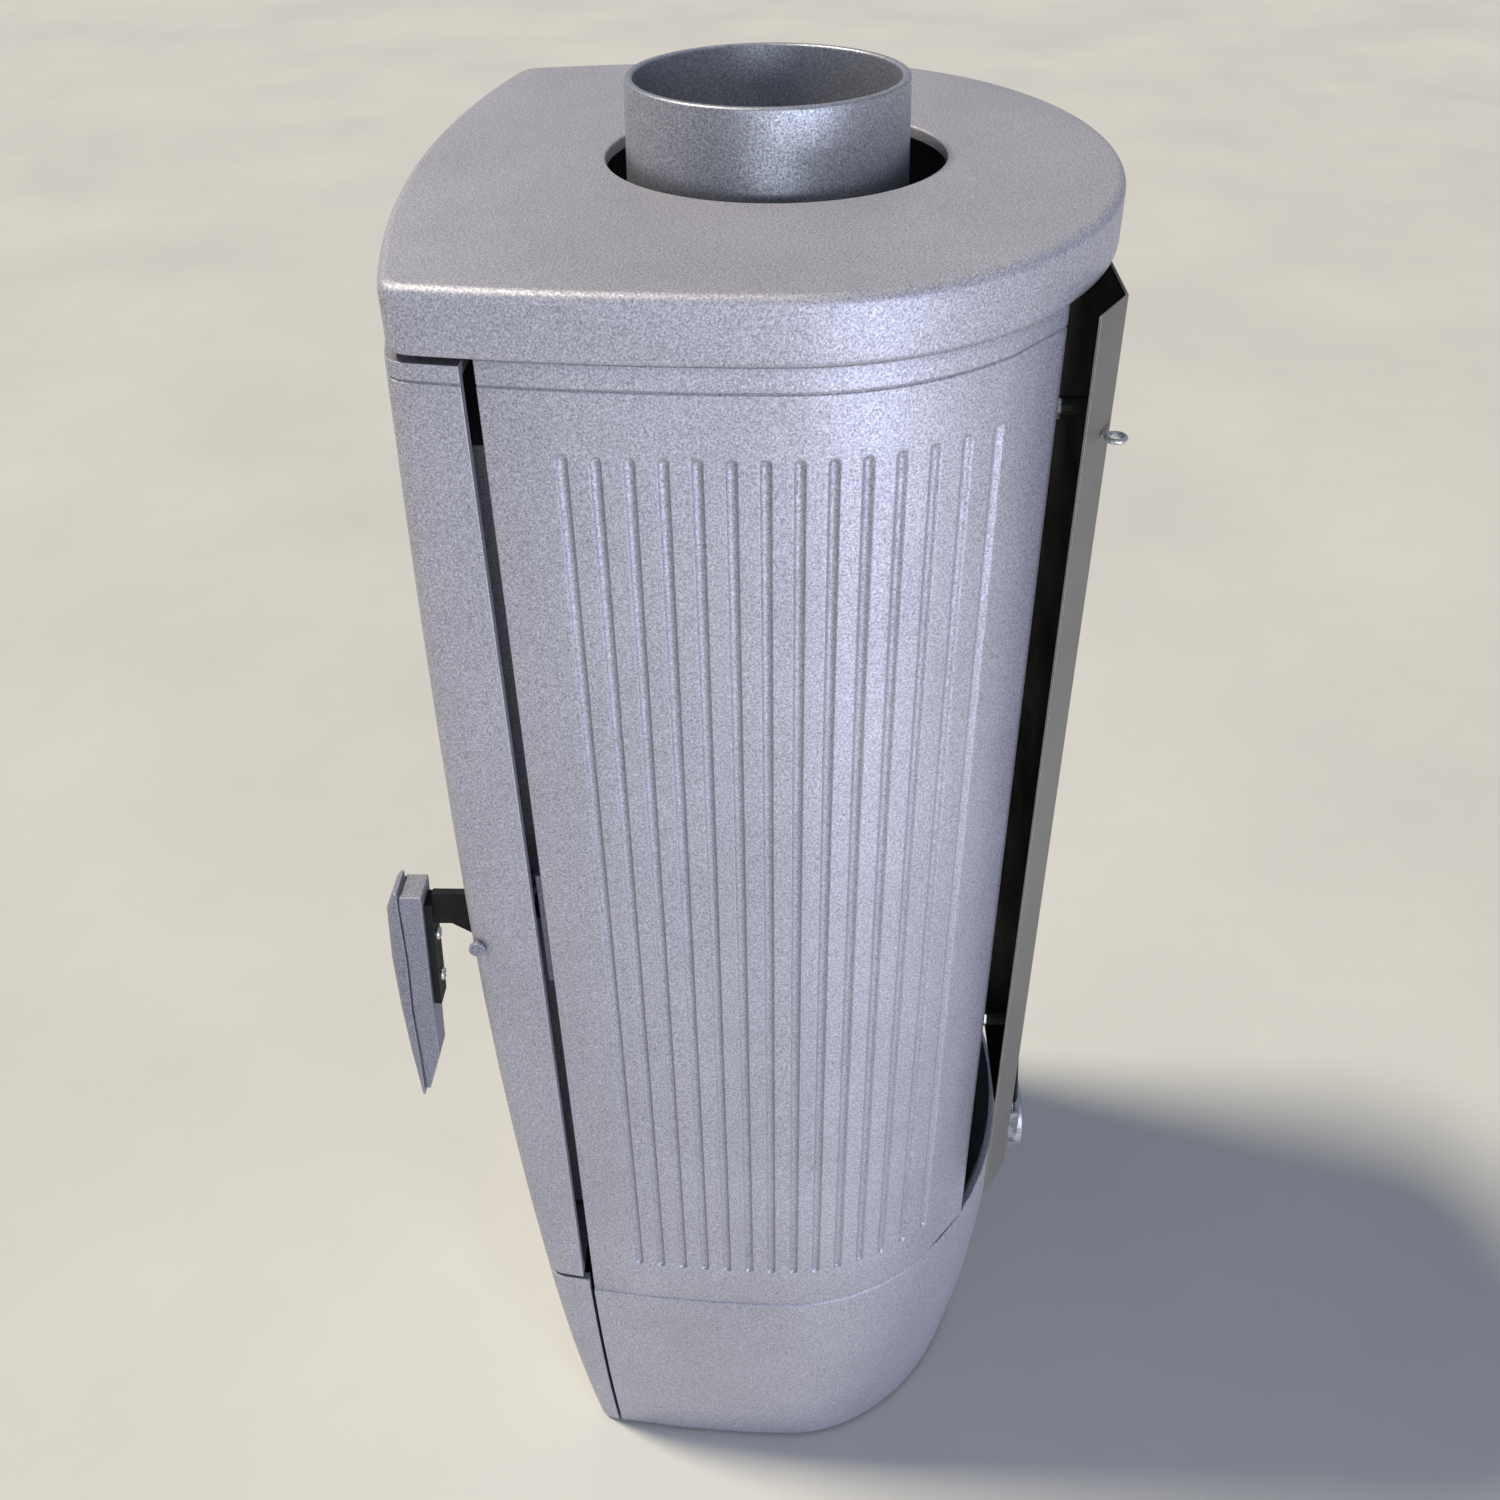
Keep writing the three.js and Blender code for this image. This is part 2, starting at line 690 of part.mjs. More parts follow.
// One round-ended groove of a side panel, as the bar that cuts it.
function grooveCutter(y) {
  const inset = panelInset;
  const angle = y < widestY ? sideAngleAtY(y, inset) : Math.asin((y - widestY) / (backDepth - inset));
  const depth = y < widestY ? sideSweep - inset : backDepth - inset;
  const [surfaceX, surfaceY] = sidePoint(angle, inset);
  const normal = new THREE.Vector2(Math.cos(angle) / (halfWidth - inset), Math.sin(angle) / depth);
  normal.normalize();
  const standOff = grooveRadius - grooveDepth;
  const length = grooveTopZ - grooveBottomZ - 2 * grooveRadius;
  const bar = new THREE.CapsuleGeometry(grooveRadius, length, grooveCapSegments, grooveSegments);
  const middleZ = (grooveTopZ + grooveBottomZ) / 2;
  return bar.rotateX(Math.PI / 2).translate(
    surfaceX + normal.x * standOff,
    surfaceY + normal.y * standOff,
    middleZ,
  );
}

// The fluted panel of the right side; the left one is its mirror image.
function sidePanel(mirror) {
  const run = (inset) => (
    sideRun(sideAngleAtY(panelFrontY, inset), rearAngleAtX(panelRearX, inset), inset, sideSteps)
  );
  const levels = bandLevels([panelBottomZ], panelTopZ);
  const outer = levels.map(([z, extra]) => atHeight(run(panelInset + extra), z));
  const inner = levels.map(([z]) => atHeight(run(panelInset + panelWall), z));
  const grooves = Array.from({ length: grooveCount }, (_, place) => (
    grooveCutter(firstGrooveY + place * groovePitch)
  ));
  const panel = cut(wallSolid(outer, inner), ...grooves);
  return facingOut(panel.scale(mirror, 1, 1));
}

// Flat plate between the rear edges of the side panels.
function backPanel() {
  const innerX = sideRearX(backPanelY + backPanelWall, panelInset + panelWall) - seatGap;
  const bottomZ = hearthTopZ + seatGap;
  return spanOf(-innerX, innerX, backPanelY, backPanelY + backPanelWall, bottomZ, coverUndersideZ);
}

// How far out the side curve reaches at a place behind the widest line.
function sideRearX(y, inset) {
  return (halfWidth - inset) * Math.sqrt(1 - ((y - widestY) / (backDepth - inset)) ** 2);
}

function sideFrontX(y, inset) {
  return (halfWidth - inset) * Math.sqrt(1 - ((y - widestY) / (sideSweep - inset)) ** 2);
}

// Base

// The upright seam between the sides of the base and its front.
const seamYAt = (z) => baseSeamY + baseSeamSlant * (1 - z / baseTopZ);

// Sides and rear of the base in one casting, with a lug for each levelling foot.
function baseSkirt() {
  const levels = [
    ...heightsBetween(floorGap, baseTopZ - baseChamfer, baseRowCount).map((z) => [z, -baseProud]),
    [baseTopZ, baseChamfer - baseProud],
  ];
  const outer = levels.map(([z, extra]) => atHeight(rearWrap(sideInsetAt(z) + extra, seamYAt(z)), z));
  const inner = levels.map(([z]) => atHeight(rearWrap(sideInsetAt(z) + baseWall, seamYAt(z)), z));
  const skirt = wallSolid(outer, inner);
  const lugs = footPlaces().map(([x, y]) => footLug(x, y));
  const hull = loftSolid(levels.map(([z, extra]) => (
    atHeight(hullLoop(sideInsetAt(z) + extra, frontInsetAt(z)), z)
  )));
  const lugsInside = common(join(...lugs), hull);
  const screwHoles = footPlaces().map(([x, y]) => (
    rodZ(footScrewRadius + seatGap, 0, footScrewTopZ, x, y)
  ));
  const spigotHole = rodY(spigotRadius + seatGap, widestY, spigotEndY, 0, spigotZ, roundSegments);
  return cut(join(skirt, lugsInside), ...screwHoles, spigotHole);
}

function footPlaces() {
  return [
    [footFrontX, footFrontY],
    [-footFrontX, footFrontY],
    [footRearX, footRearY],
    [-footRearX, footRearY],
  ];
}

// A lug from a foot's screw to the wall of the base: straight out at the front, slantwise at the rear.
function footLug(x, y) {
  const reach = new THREE.Vector2(x, Math.max(y, 0)).setLength(baseWall + 2 * footLugRadius);
  const round = rodZ(footLugRadius, footLugZ, footLugZ + footLugHeight, 0, 0, roundSegments);
  const web = spanOf(0, reach.length(), -footLugRadius, footLugRadius, footLugZ, footLugZ + footLugHeight);
  return join(round, web).rotateZ(reach.angle()).translate(x, y, 0);
}

function levellingFoot(x, y) {
  const pad = rodZ(footPadRadius, 0, footPadHeight, x, y, roundSegments);
  return join(pad, rodZ(footScrewRadius, 0, footScrewTopZ, x, y));
}

const baseFrontTopZ = doorBottomZ - doorBottomGap;

// Curved front of the base: the face of the ash drawer.
function baseFront() {
  const levels = [
    ...heightsBetween(floorGap, baseFrontTopZ - baseChamfer, baseRowCount).map((z) => [z, 0]),
    [baseFrontTopZ, baseChamfer],
  ];
  const wrapAt = (z, extra) => (
    atHeight(
      frontWrap(sideInsetAt(z) - baseProud + extra, frontInsetAt(z) + extra, seamYAt(z) - baseSeamGap),
      z,
    )
  );
  const outer = levels.map(([z, extra]) => wrapAt(z, extra));
  const inner = levels.map(([z]) => wrapAt(z, baseFrontWall));
  return wallSolid(outer, inner);
}

// Hearth plate and grate

const hearthBottomZ = baseTopZ + seatGap;
const hearthTopZ = hearthBottomZ + hearthWall;

function grateOutline(clearance) {
  return roundedRectangle(
    clearance - grateHalfWidth,
    grateHalfWidth - clearance,
    grateFrontY + clearance,
    grateRearY - clearance,
    grateCorner,
  );
}

function hearthPlate() {
  const halfRun = sideRun(sideAngleAtY(hearthFrontY, hearthInset), Math.PI / 2, hearthInset, sideSteps);
  const outline = [...halfRun.slice(0, -1), ...mirrorPoints(halfRun)];
  const plate = loftSolid([atHeight(outline, hearthBottomZ), atHeight(outline, hearthTopZ)]);
  const well = flatPlate(grateOutline(0), hearthTopZ - grateRebate / 2, hearthTopZ + overrun);
  const ashHole = flatPlate(grateOutline(grateRebate), hearthBottomZ - overrun, hearthTopZ);
  return cut(plate, well, ashHole);
}

function grate() {
  const bottomZ = hearthTopZ - grateRebate / 2 + seatGap;
  const disc = flatPlate(grateOutline(seatGap), bottomZ, bottomZ + grateWall);
  const firstX = -grateSlotPitch * (grateSlotCount - 1) / 2;
  const slots = Array.from({ length: grateSlotCount }, (_, place) => {
    const x = firstX + place * grateSlotPitch;
    const slot = roundedRectangle(
      x - grateSlotWidth / 2,
      x + grateSlotWidth / 2,
      grateFrontY + grateRim,
      grateRearY - grateRim,
      grateSlotWidth / 2,
    );
    return flatPlate(slot, bottomZ - overrun, bottomZ + grateWall + overrun);
  });
  return cut(disc, ...slots);
}

// Fire chamber

const chamberBottomZ = hearthTopZ + seatGap;
const chamberFrontY = frontFrameRearY + seatGap;
const frontFrameFrontY = frontFrameRearY - frontFrameWall;
const frontFrameHalfWidth = sideFrontX(frontFrameFrontY, panelInset + panelWall) - frontFrameSideGap;

// Upright plate with the fire opening, which the door closes against.
function frontFrame() {
  const plate = spanOf(
    -frontFrameHalfWidth,
    frontFrameHalfWidth,
    frontFrameFrontY,
    frontFrameRearY,
    chamberBottomZ,
    coverUndersideZ,
  );
  const opening = roundedRectangle(
    -fireOpeningHalfWidth,
    fireOpeningHalfWidth,
    fireOpeningBottomZ,
    fireOpeningTopZ,
    fireOpeningCorner,
  );
  return cut(plate, uprightPlate(opening, frontFrameFrontY - overrun, frontFrameRearY + overrun));
}

function chamberSide(mirror) {
  const innerX = chamberHalfWidth - chamberWall;
  const wall = spanOf(innerX, chamberHalfWidth, chamberFrontY, chamberRearY, chamberBottomZ, chamberTopZ);
  return facingOut(wall.scale(mirror, 1, 1));
}

function chamberBack() {
  const reach = chamberHalfWidth - chamberWall - seatGap;
  return spanOf(-reach, reach, chamberRearY - chamberWall, chamberRearY, chamberBottomZ, chamberTopZ);
}

const chamberLidZ = chamberTopZ + seatGap;

function chamberTop() {
  const lid = spanOf(
    -chamberHalfWidth,
    chamberHalfWidth,
    chamberFrontY,
    chamberRearY,
    chamberLidZ,
    chamberLidZ + chamberWall,
  );
  const topZ = chamberLidZ + chamberWall + overrun;
  return cut(lid, rodZ(collarBore, chamberLidZ - overrun, topZ, 0, collarY, roundSegments));
}

// Flue collar: a tapering cast ring on a bolting flange.
function flueCollar() {
  const footZ = chamberLidZ + chamberWall + seatGap;
  return turned([
    [collarBore, footZ],
    [collarFlangeRadius, footZ],
    [collarFlangeRadius, footZ + collarFlangeHeight],
    [collarFootRadius, footZ + collarFlangeHeight],
    [collarRimRadius, collarTopZ - collarRimChamfer],
    [collarRimRadius - collarRimChamfer, collarTopZ],
    [collarBore, collarTopZ],
  ]).translate(0, collarY, 0);
}

// Liners

const linerBackY = chamberRearY - chamberWall - seatGap;
const linerSideX = chamberHalfWidth - chamberWall - seatGap;

// Outline of a liner: flat on its back, ribbed on the side that faces the fire.
function ribbedOutline(length) {
  const pitch = length / linerRibCount;
  const points = [[0, 0], [length, 0]];
  for (let rib = linerRibCount; rib > 0; rib--) {
    const start = rib * pitch;
    points.push([start, linerWall - linerRibDepth]);
    points.push([start - pitch * linerRibStartShare, linerWall]);
    points.push([start - pitch * (1 - linerRibStartShare), linerWall]);
  }
  points.push([0, linerWall - linerRibDepth]);
  return shapeOf(points);
}

function linerBack() {
  const reach = linerSideX - linerWall - seatGap;
  const liner = flatPlate(ribbedOutline(2 * reach), chamberBottomZ, linerTopZ);
  return liner.rotateZ(Math.PI).translate(reach, linerBackY, 0);
}

function linerSide(mirror) {
  const liner = flatPlate(ribbedOutline(linerBackY - chamberFrontY), chamberBottomZ, linerTopZ);
  const right = liner.rotateZ(Math.PI / 2).translate(linerSideX, chamberFrontY, 0);
  return facingOut(merged(right.scale(mirror, 1, 1)));
}

// The baffle lies on the liners and rises towards the door.
function baffle() {
  const reach = linerSideX - seatGap;
  const rearZ = linerTopZ + seatGap;
  const frontY = chamberFrontY + baffleFrontGap;
  const slab = sidePlate([
    [linerBackY, rearZ],
    [linerBackY, rearZ + baffleWall],
    [frontY, rearZ + baffleWall + baffleRise],
    [frontY, rearZ + baffleRise],
    [frontY + baffleWall, rearZ],
  ], -reach, reach);
  return slab;
}

// Low fence that keeps the logs behind the opening.
function logGuard() {
  const rearY = chamberFrontY + guardWall;
  const fence = spanOf(
    -guardHalfWidth,
    guardHalfWidth,
    chamberFrontY,
    rearY,
    chamberBottomZ,
    chamberBottomZ + guardHeight,
  );
  const pitch = 2 * guardHalfWidth / guardToothCount;
  const notches = Array.from({ length: guardToothCount }, (_, place) => {
    const x = -guardHalfWidth + (place + 1 / 2) * pitch;
    const top = chamberBottomZ + guardHeight + overrun;
    const notch = roundedRectangle(
      x - guardToothWidth / 2,
      x + guardToothWidth / 2,
      chamberBottomZ + guardHeight - guardToothDepth,
      top + guardToothWidth,
      guardToothWidth / 2,
    );
    return uprightPlate(notch, chamberFrontY - overrun, rearY + overrun);
  });
  return cut(fence, ...notches);
}

// Heat shield at the rear

// Moves each point of an open row inwards by a wall's thickness, with mitred corners.
function offsetRow(points, wall) {
  const normals = points.slice(1).map(([x, y], place) => (
    new THREE.Vector2(points[place][1] - y, x - points[place][0]).normalize()
  ));
  return points.map(([x, y], place) => {
    const before = normals[Math.max(place - 1, 0)];
    const after = normals[Math.min(place, normals.length - 1)];
    const mitre = new THREE.Vector2().addVectors(before, after).normalize();
    const reach = wall / mitre.dot(before);
    return [x + mitre.x * reach, y + mitre.y * reach];
  });
}

const shieldWingTip = () => [shieldHalfWidth + shieldWingReachX, shieldBackY - shieldWingReachY];

function heatShield() {
  const [tipX, tipY] = shieldWingTip();
  const outer = [
    [tipX, tipY],
    [shieldHalfWidth, shieldBackY],
    [-shieldHalfWidth, shieldBackY],
    [-tipX, tipY],
  ];
  const inner = offsetRow(outer, shieldWall);
  const levels = [shieldBottomZ, plateBottomZ - shieldTopGap];
  return wallSolid(levels.map((z) => atHeight(outer, z)), levels.map((z) => atHeight(inner, z)));
}

function shieldSpacer(x, z) {
  const frontY = backPanelY + backPanelWall + seatGap;
  return rodY(shieldSpacerRadius, frontY, shieldBackY - shieldWall - seatGap, x, z, smallSegments);
}

// A small eye standing out from the shield's wing, with its ring lying flat.
function shieldEye() {
  const shank = rodY(eyeWireRadius, 0, eyeShankLength + eyeWireRadius, 0, 0, smallSegments);
  const ring = new THREE.TorusGeometry(eyeRingRadius, eyeWireRadius, smallSegments, pinSegments);
  ring.translate(0, eyeShankLength + eyeRingRadius, 0);
  const wing = new THREE.Vector2(shieldWingReachX, -shieldWingReachY);
  const normal = new THREE.Vector2(shieldWingReachY, shieldWingReachX).normalize();
  const foot = new THREE.Vector2(shieldHalfWidth, shieldBackY)
    .addScaledVector(wing, eyeShare)
    .addScaledVector(normal, seatGap);
  return join(shank, ring).rotateZ(wing.angle()).translate(foot.x, foot.y, eyeZ);
}

// Door

function doorLevels() {
  const plain = heightsBetween(doorBottomZ, bandZ - bandGrooveHeight, doorRowCount);
  return bandLevels(plain, doorTopZ);
}

function doorLoops(levels, inset, rearY) {
  return levels.map(([z, extra]) => (
    atHeight(frontWrap(panelInset + inset + extra, frontInsetAt(z) + inset + extra, rearY), z)
  ));
}

// A rectangle in X and Z with rounded corners, as a loop of points at one depth.
function windowLoop(halfReach, bottomZ, topZ, radius, y) {
  const outline = roundedRectangle(-halfReach, halfReach, bottomZ, topZ, radius);
  return outline.getPoints(edgeSteps).map((point) => [point.x, y, point.y]);
}

function windowCutter() {
  const rearReach = glassHalfWidth - glassSeatWidth;
  const rearY = glassSeatY + overrun;
  const frontY = -frontReach - bulgeReach - overrun;
  const opening = (splay, y) => windowLoop(
    rearReach + splay,
    glassBottomZ + glassSeatWidth - splay,
    glassTopZ - glassSeatWidth + splay,
    windowCorner,
    y,
  );
  return loftSolid([opening(0, rearY), opening(0, glassSeatY), opening(windowSplay, frontY)]);
}

// A four-sided frame of rectangular section in front of a depth.
function rectangularRing(halfReach, bottomZ, topZ, width, y0, y1) {
  const outer = spanOf(-halfReach, halfReach, y0, y1, bottomZ, topZ);
  const inner = spanOf(
    width - halfReach,
    halfReach - width,
    y0 - overrun,
    y1 + overrun,
    bottomZ + width,
    topZ - width,
  );
  return cut(outer, inner);
}

const ropeRearY = frontFrameFrontY - seatGap;
const ropeFrontY = ropeRearY - ropeSize;

function doorRope() {
  const reach = ropeHalfWidth + ropeSize / 2;
  return rectangularRing(reach, ropeBottomZ, ropeTopZ, ropeSize, ropeFrontY, ropeRearY);
}

const hingePlaces = () => [hingeLowerZ, hingeUpperZ];
const knuckleBottomZ = (hingeZ) => hingeZ + hingeBracketWall + hingeRunningGap;

// The door's half of a hinge: a knuckle joined to the door's side wall.
function hingeKnuckle(hingeZ) {
  const bottomZ = knuckleBottomZ(hingeZ);
  const topZ = bottomZ + hingeKnuckleHeight;
  const wallX = -sideFrontX(hingeY, panelInset + doorWall / 2);
  const web = spanOf(wallX, hingeX, hingeY - doorWall / 2, hingeY + doorWall / 2, bottomZ, topZ);
  return join(rodZ(hingeKnuckleRadius, bottomZ, topZ, hingeX, hingeY), web);
}

// Opening in the door's side wall through which the fixed bracket passes as the door turns.
function hingeNotch(hingeZ) {
  return spanOf(
    -halfWidth,
    hingeX + hingeKnuckleRadius,
    hingeY - hingeNotchReach,
    doorRearY + overrun,
    hingeZ - hingePinHead - 2 * hingeRunningGap,
    knuckleBottomZ(hingeZ),
  );
}

function hingeBracket(hingeZ) {
  const topZ = hingeZ + hingeBracketWall;
  const round = rodZ(hingeKnuckleRadius, hingeZ, topZ, hingeX, hingeY);
  const arm = spanOf(
    hingeX - hingeKnuckleRadius,
    hingeX + hingeKnuckleRadius,
    hingeY,
    frontFrameFrontY - seatGap,
    hingeZ,
    topZ,
  );
  const hole = rodZ(hingePinRadius + seatGap, hingeZ - overrun, topZ + overrun, hingeX, hingeY);
  return cut(join(round, arm), hole);
}

function hingePin(hingeZ) {
  const headZ = hingeZ - hingePinHead - seatGap;
  const pin = rodZ(hingePinRadius, headZ, knuckleBottomZ(hingeZ) + hingeKnuckleHeight, hingeX, hingeY);
  return join(pin, rodZ(hingeKnuckleRadius - hingeRunningGap, headZ, headZ + hingePinHead, hingeX, hingeY));
}

const leverHalfWidth = strapWall / 2;
const pivotLugRightX = handleX - leverHalfWidth - pivotPlay;
const pivotLugLeftX = pivotLugRightX - pivotLugWall;
const noseTopZ = pivotZ + hookArmHeight / 2 + hookNoseHeight;
const keeperRearY = frontFrameFrontY - seatGap;
const hookEndY = keeperRearY - keeperWall - hookGap;

// Lug inside the door that carries the inner end of the lever's pivot.
function pivotLug(doorHull) {
  const lug = spanOf(
    pivotLugLeftX,
    pivotLugRightX,
    -frontReach - bulgeReach,
    pivotY + pivotEyeRadius,
    pivotZ - pivotEyeRadius,
    pivotZ + pivotEyeRadius,
  );
  return common(lug, doorHull);
}

// Slot in the door's face for the lever.
function leverSlot() {
  return spanOf(
    handleX - leverHalfWidth - pivotPlay,
    handleX + leverHalfWidth + pivotPlay,
    -frontReach - bulgeReach - overrun,
    pivotY + pivotEyeRadius + seatGap,
    strapTopZ - strapHeight - gussetDrop - slotClearance,
    strapTopZ + slotRise,
  );
}

// One casting: a curved shell that wraps both corners, with a seat for the glass,
// a rib for the rope seal, two hinge knuckles and the lever's pivot lug.
function doorFrame() {
  const levels = doorLevels();
  const hull = loftSolid(doorLoops(levels, 0, doorRearY));
  const hollowHeights = heightsBetween(doorBottomZ + doorWall, doorTopZ - doorWall, doorRowCount);
  const hollowLevels = hollowHeights.map((z) => [z, 0]);
  const hollow = loftSolid(doorLoops(hollowLevels, doorWall, doorRearY + overrun));
  const deepY = -frontReach - bulgeReach - overrun;
  const glassSeat = spanOf(
    -glassHalfWidth,
    glassHalfWidth,
    deepY,
    glassSeatY,
    glassBottomZ - clipFoot,
    glassTopZ + clipFoot,
  );
  const ropeRib = rectangularRing(
    ropeHalfWidth + ropeSize / 2,
    ropeBottomZ,
    ropeTopZ,
    ropeSize,
    deepY,
    ropeFrontY - seatGap,
  );
  const ribs = common(join(glassSeat, ropeRib), hull);
  const body = join(cut(hull, hollow), ribs, ...hingePlaces().map(hingeKnuckle), pivotLug(hull));
  const pinHoles = hingePlaces().map((z) => rodZ(
    hingePinRadius + seatGap,
    z,
    knuckleBottomZ(z) + hingeKnuckleHeight + overrun,
    hingeX,
    hingeY,
  ));
  const pivotHole = rodX(pivotRadius + seatGap, pivotLugLeftX - overrun, halfWidth, pivotY, pivotZ);
  return cut(body, windowCutter(), leverSlot(), pivotHole, ...hingePlaces().map(hingeNotch), ...pinHoles);
}

// Glass, its sealing tape and its clips

function glassTape() {
  const frontY = glassSeatY + seatGap;
  return rectangularRing(glassHalfWidth, glassBottomZ, glassTopZ, glassSeatWidth, frontY, frontY + tapeWall);
}

const glassFrontY = glassSeatY + tapeWall + 2 * seatGap;
const glassRearY = glassFrontY + glassWall;

function doorGlass() {
  return spanOf(-glassHalfWidth, glassHalfWidth, glassFrontY, glassRearY, glassBottomZ, glassTopZ);
}

// A stepped clip that holds the glass against its seat; above is 1 at the top edge and -1 at the bottom.
function glassClip(x, above) {
  const edgeZ = above > 0 ? glassTopZ : glassBottomZ;
  const footZ = edgeZ + above * clipFoot;
  const riserInnerZ = edgeZ + above * seatGap;
  const riserOuterZ = riserInnerZ + above * clipWall;
  const tipZ = edgeZ - above * clipOverlap;
  const footFrontY = glassSeatY + seatGap;
  const footRearY = footFrontY + clipWall;
  const fingerFrontY = glassRearY + seatGap;
  const fingerRearY = fingerFrontY + clipWall;
  const strip = sidePlate([
    [footFrontY, footZ],
    [footRearY, footZ],
    [footRearY, riserOuterZ],
    [fingerRearY, riserOuterZ],
    [fingerRearY, tipZ],
    [fingerFrontY, tipZ],
    [fingerFrontY, riserInnerZ],
    [footFrontY, riserInnerZ],
  ], x - clipWidth / 2, x + clipWidth / 2);
  const screwZ = (footZ + riserOuterZ) / 2;
  const headRearY = footRearY + clipScrewHead;
  return join(strip, rodY(clipScrewRadius, footRearY - clipWall / 2, headRearY, x, screwZ, smallSegments));
}

// Handle and latch

const gripRearY = gripFrontY + gripDepth;

// Side view of the grip: shares of its depth and height, and of the bevel that each corner takes.
const gripOutlineShares = [
  [0.3, 1, 0.6],
  [0.75, 0.86, 1],
  [0.96, 0.38, 1],
  [1, 0.07, 1],
  [0.9, 0, 0.6],
  [0.43, 0.24, 0],
  [0.21, 0.84, 0],
  [0, 0.96, 0],
];
const gripBackUpper = 6; // places of the two corners that bound the grip's flat back
const gripBackLower = 5;

function gripCorner([depthShare, heightShare, bevelShare], bevel) {
  const y = gripRearY - depthShare * gripDepth + bevelShare * bevel;
  return [y, between(gripBottomZ, gripTopZ, heightShare)];
}

// Where the grip's flat back lies at a height.
function gripBackY(z) {
  const [upperY, upperZ] = gripCorner(gripOutlineShares[gripBackUpper], 0);
  const [lowerY, lowerZ] = gripCorner(gripOutlineShares[gripBackLower], 0);
  return between(lowerY, upperY, (z - lowerZ) / (upperZ - lowerZ));
}

// How far the grip's flat back leans out of the upright, as an angle.
function gripLean() {
  return Math.atan(gripBackY(1) - gripBackY(0));
}

// A rod square to the grip's back: y0 and y1 are measured from the back at a height.
function leaningRod(radius, y0, y1, z) {
  return rodY(radius, y0, y1, 0, 0, smallSegments).rotateX(-gripLean()).translate(handleX, gripBackY(z), z);
}

function gripScrewHole(z, radius) {
  return leaningRod(radius, -gripScrewDepth - seatGap, strapWall + overrun, z);
}

function handleGrip() {
  const loopAt = (x, bevel) => gripOutlineShares.map((shares) => {
    const [y, z] = gripCorner(shares, bevel);
    return [x, y, z];
  });
  const reach = gripWidth / 2;
  const grip = loftSolid([
    loopAt(handleX - reach, gripBevel),
    loopAt(handleX - reach + gripBevel, 0),
    loopAt(handleX + reach - gripBevel, 0),
    loopAt(handleX + reach, gripBevel),
  ]);
  return cut(grip, ...gripScrewPlaces().map((z) => gripScrewHole(z, gripScrewRadius + seatGap)));
}

const gripScrewPlaces = () => [gripScrewUpperZ, gripScrewLowerZ];

// Steel lever: an arm through the door's face, a tail behind the grip, and a hook inside the door.
function handleStrap() {
  const armBottomZ = strapTopZ - strapHeight;
  const left = handleX - leverHalfWidth;
  const right = handleX + leverHalfWidth;
  const eye = rodX(pivotEyeRadius, left, right, pivotY, pivotZ, pinSegments);
  const arm = sidePlate([
    [pivotY + pivotEyeRadius, pivotZ],
    [pivotY, strapTopZ],
    [gripBackY(strapTopZ) + strapWall, strapTopZ],
    [gripBackY(armBottomZ) + strapWall / 2, armBottomZ],
    [pivotY - gussetReach, armBottomZ],
    [pivotY - pivotEyeRadius, armBottomZ - gussetDrop],
    [pivotY, pivotZ - pivotEyeRadius],
  ], left, right);
  const [, tailTopZ] = gripCorner(gripOutlineShares[gripBackUpper], 0);
  const tail = sidePlate([
    [gripBackY(tailTopZ) + seatGap, tailTopZ],
    [gripBackY(strapTailBottomZ) + seatGap, strapTailBottomZ],
    [gripBackY(strapTailBottomZ) + seatGap + strapWall, strapTailBottomZ],
    [gripBackY(tailTopZ) + seatGap + strapWall, tailTopZ],
  ], handleX - strapTailWidth / 2, handleX + strapTailWidth / 2);
  const halfArm = hookArmHeight / 2;
  const hookArm = spanOf(left, right, pivotY, hookEndY, pivotZ - halfArm, pivotZ + halfArm);
  const nose = spanOf(left, right, hookEndY - hookNoseDepth, hookEndY, pivotZ, noseTopZ);
  const pivotHole = rodX(pivotRadius + seatGap, left - overrun, right + overrun, pivotY, pivotZ);
  const screwHoles = gripScrewPlaces().map((z) => gripScrewHole(z, gripScrewRadius + seatGap));
  return cut(join(arm, eye, tail, hookArm, nose), pivotHole, ...screwHoles);
}

// A screw square to the leaning back of the grip: a shank through the tail, and its head.
function gripScrew(z) {
  const headFrontY = strapWall + 2 * seatGap;
  const shank = leaningRod(gripScrewRadius, -gripScrewDepth, headFrontY + gripScrewHead / 2, z);
  return join(shank, leaningRod(gripScrewHeadRadius, headFrontY, headFrontY + gripScrewHead, z));
}

function pivotPin() {
  const headX = sideFrontX(pivotY + pivotHeadRadius, panelInset) + seatGap;
  const shank = rodX(pivotRadius, pivotLugLeftX, headX + pivotProud, pivotY, pivotZ);
  return join(shank, rodX(pivotHeadRadius, headX, headX + pivotProud, pivotY, pivotZ));
}

// Catch plate on the front frame, with a lip that hangs over the hook's nose.
function latchKeeper() {
  const right = frontFrameHalfWidth - keeperMargin;
  const left = right - keeperWidth;
  const frontY = keeperRearY - keeperWall;
  const plate = spanOf(left, right, frontY, keeperRearY, keeperTopZ - keeperHeight, keeperTopZ);
  const lipBottomZ = noseTopZ + hookClear;
  const shelfBottomZ = lipBottomZ + keeperLipWall;
  const shelfTopZ = shelfBottomZ + keeperLipWall;
  const lipRearY = hookEndY - hookNoseDepth - keeperLipGap;
  const lipFrontY = lipRearY - keeperLipWall;
  const shelf = spanOf(left, handleX + strapWall, lipFrontY, keeperRearY, shelfBottomZ, shelfTopZ);
  const lip = spanOf(left, handleX + strapWall, lipFrontY, lipRearY, lipBottomZ, shelfTopZ);
  return join(plate, shelf, lip);
}

// Ash drawer

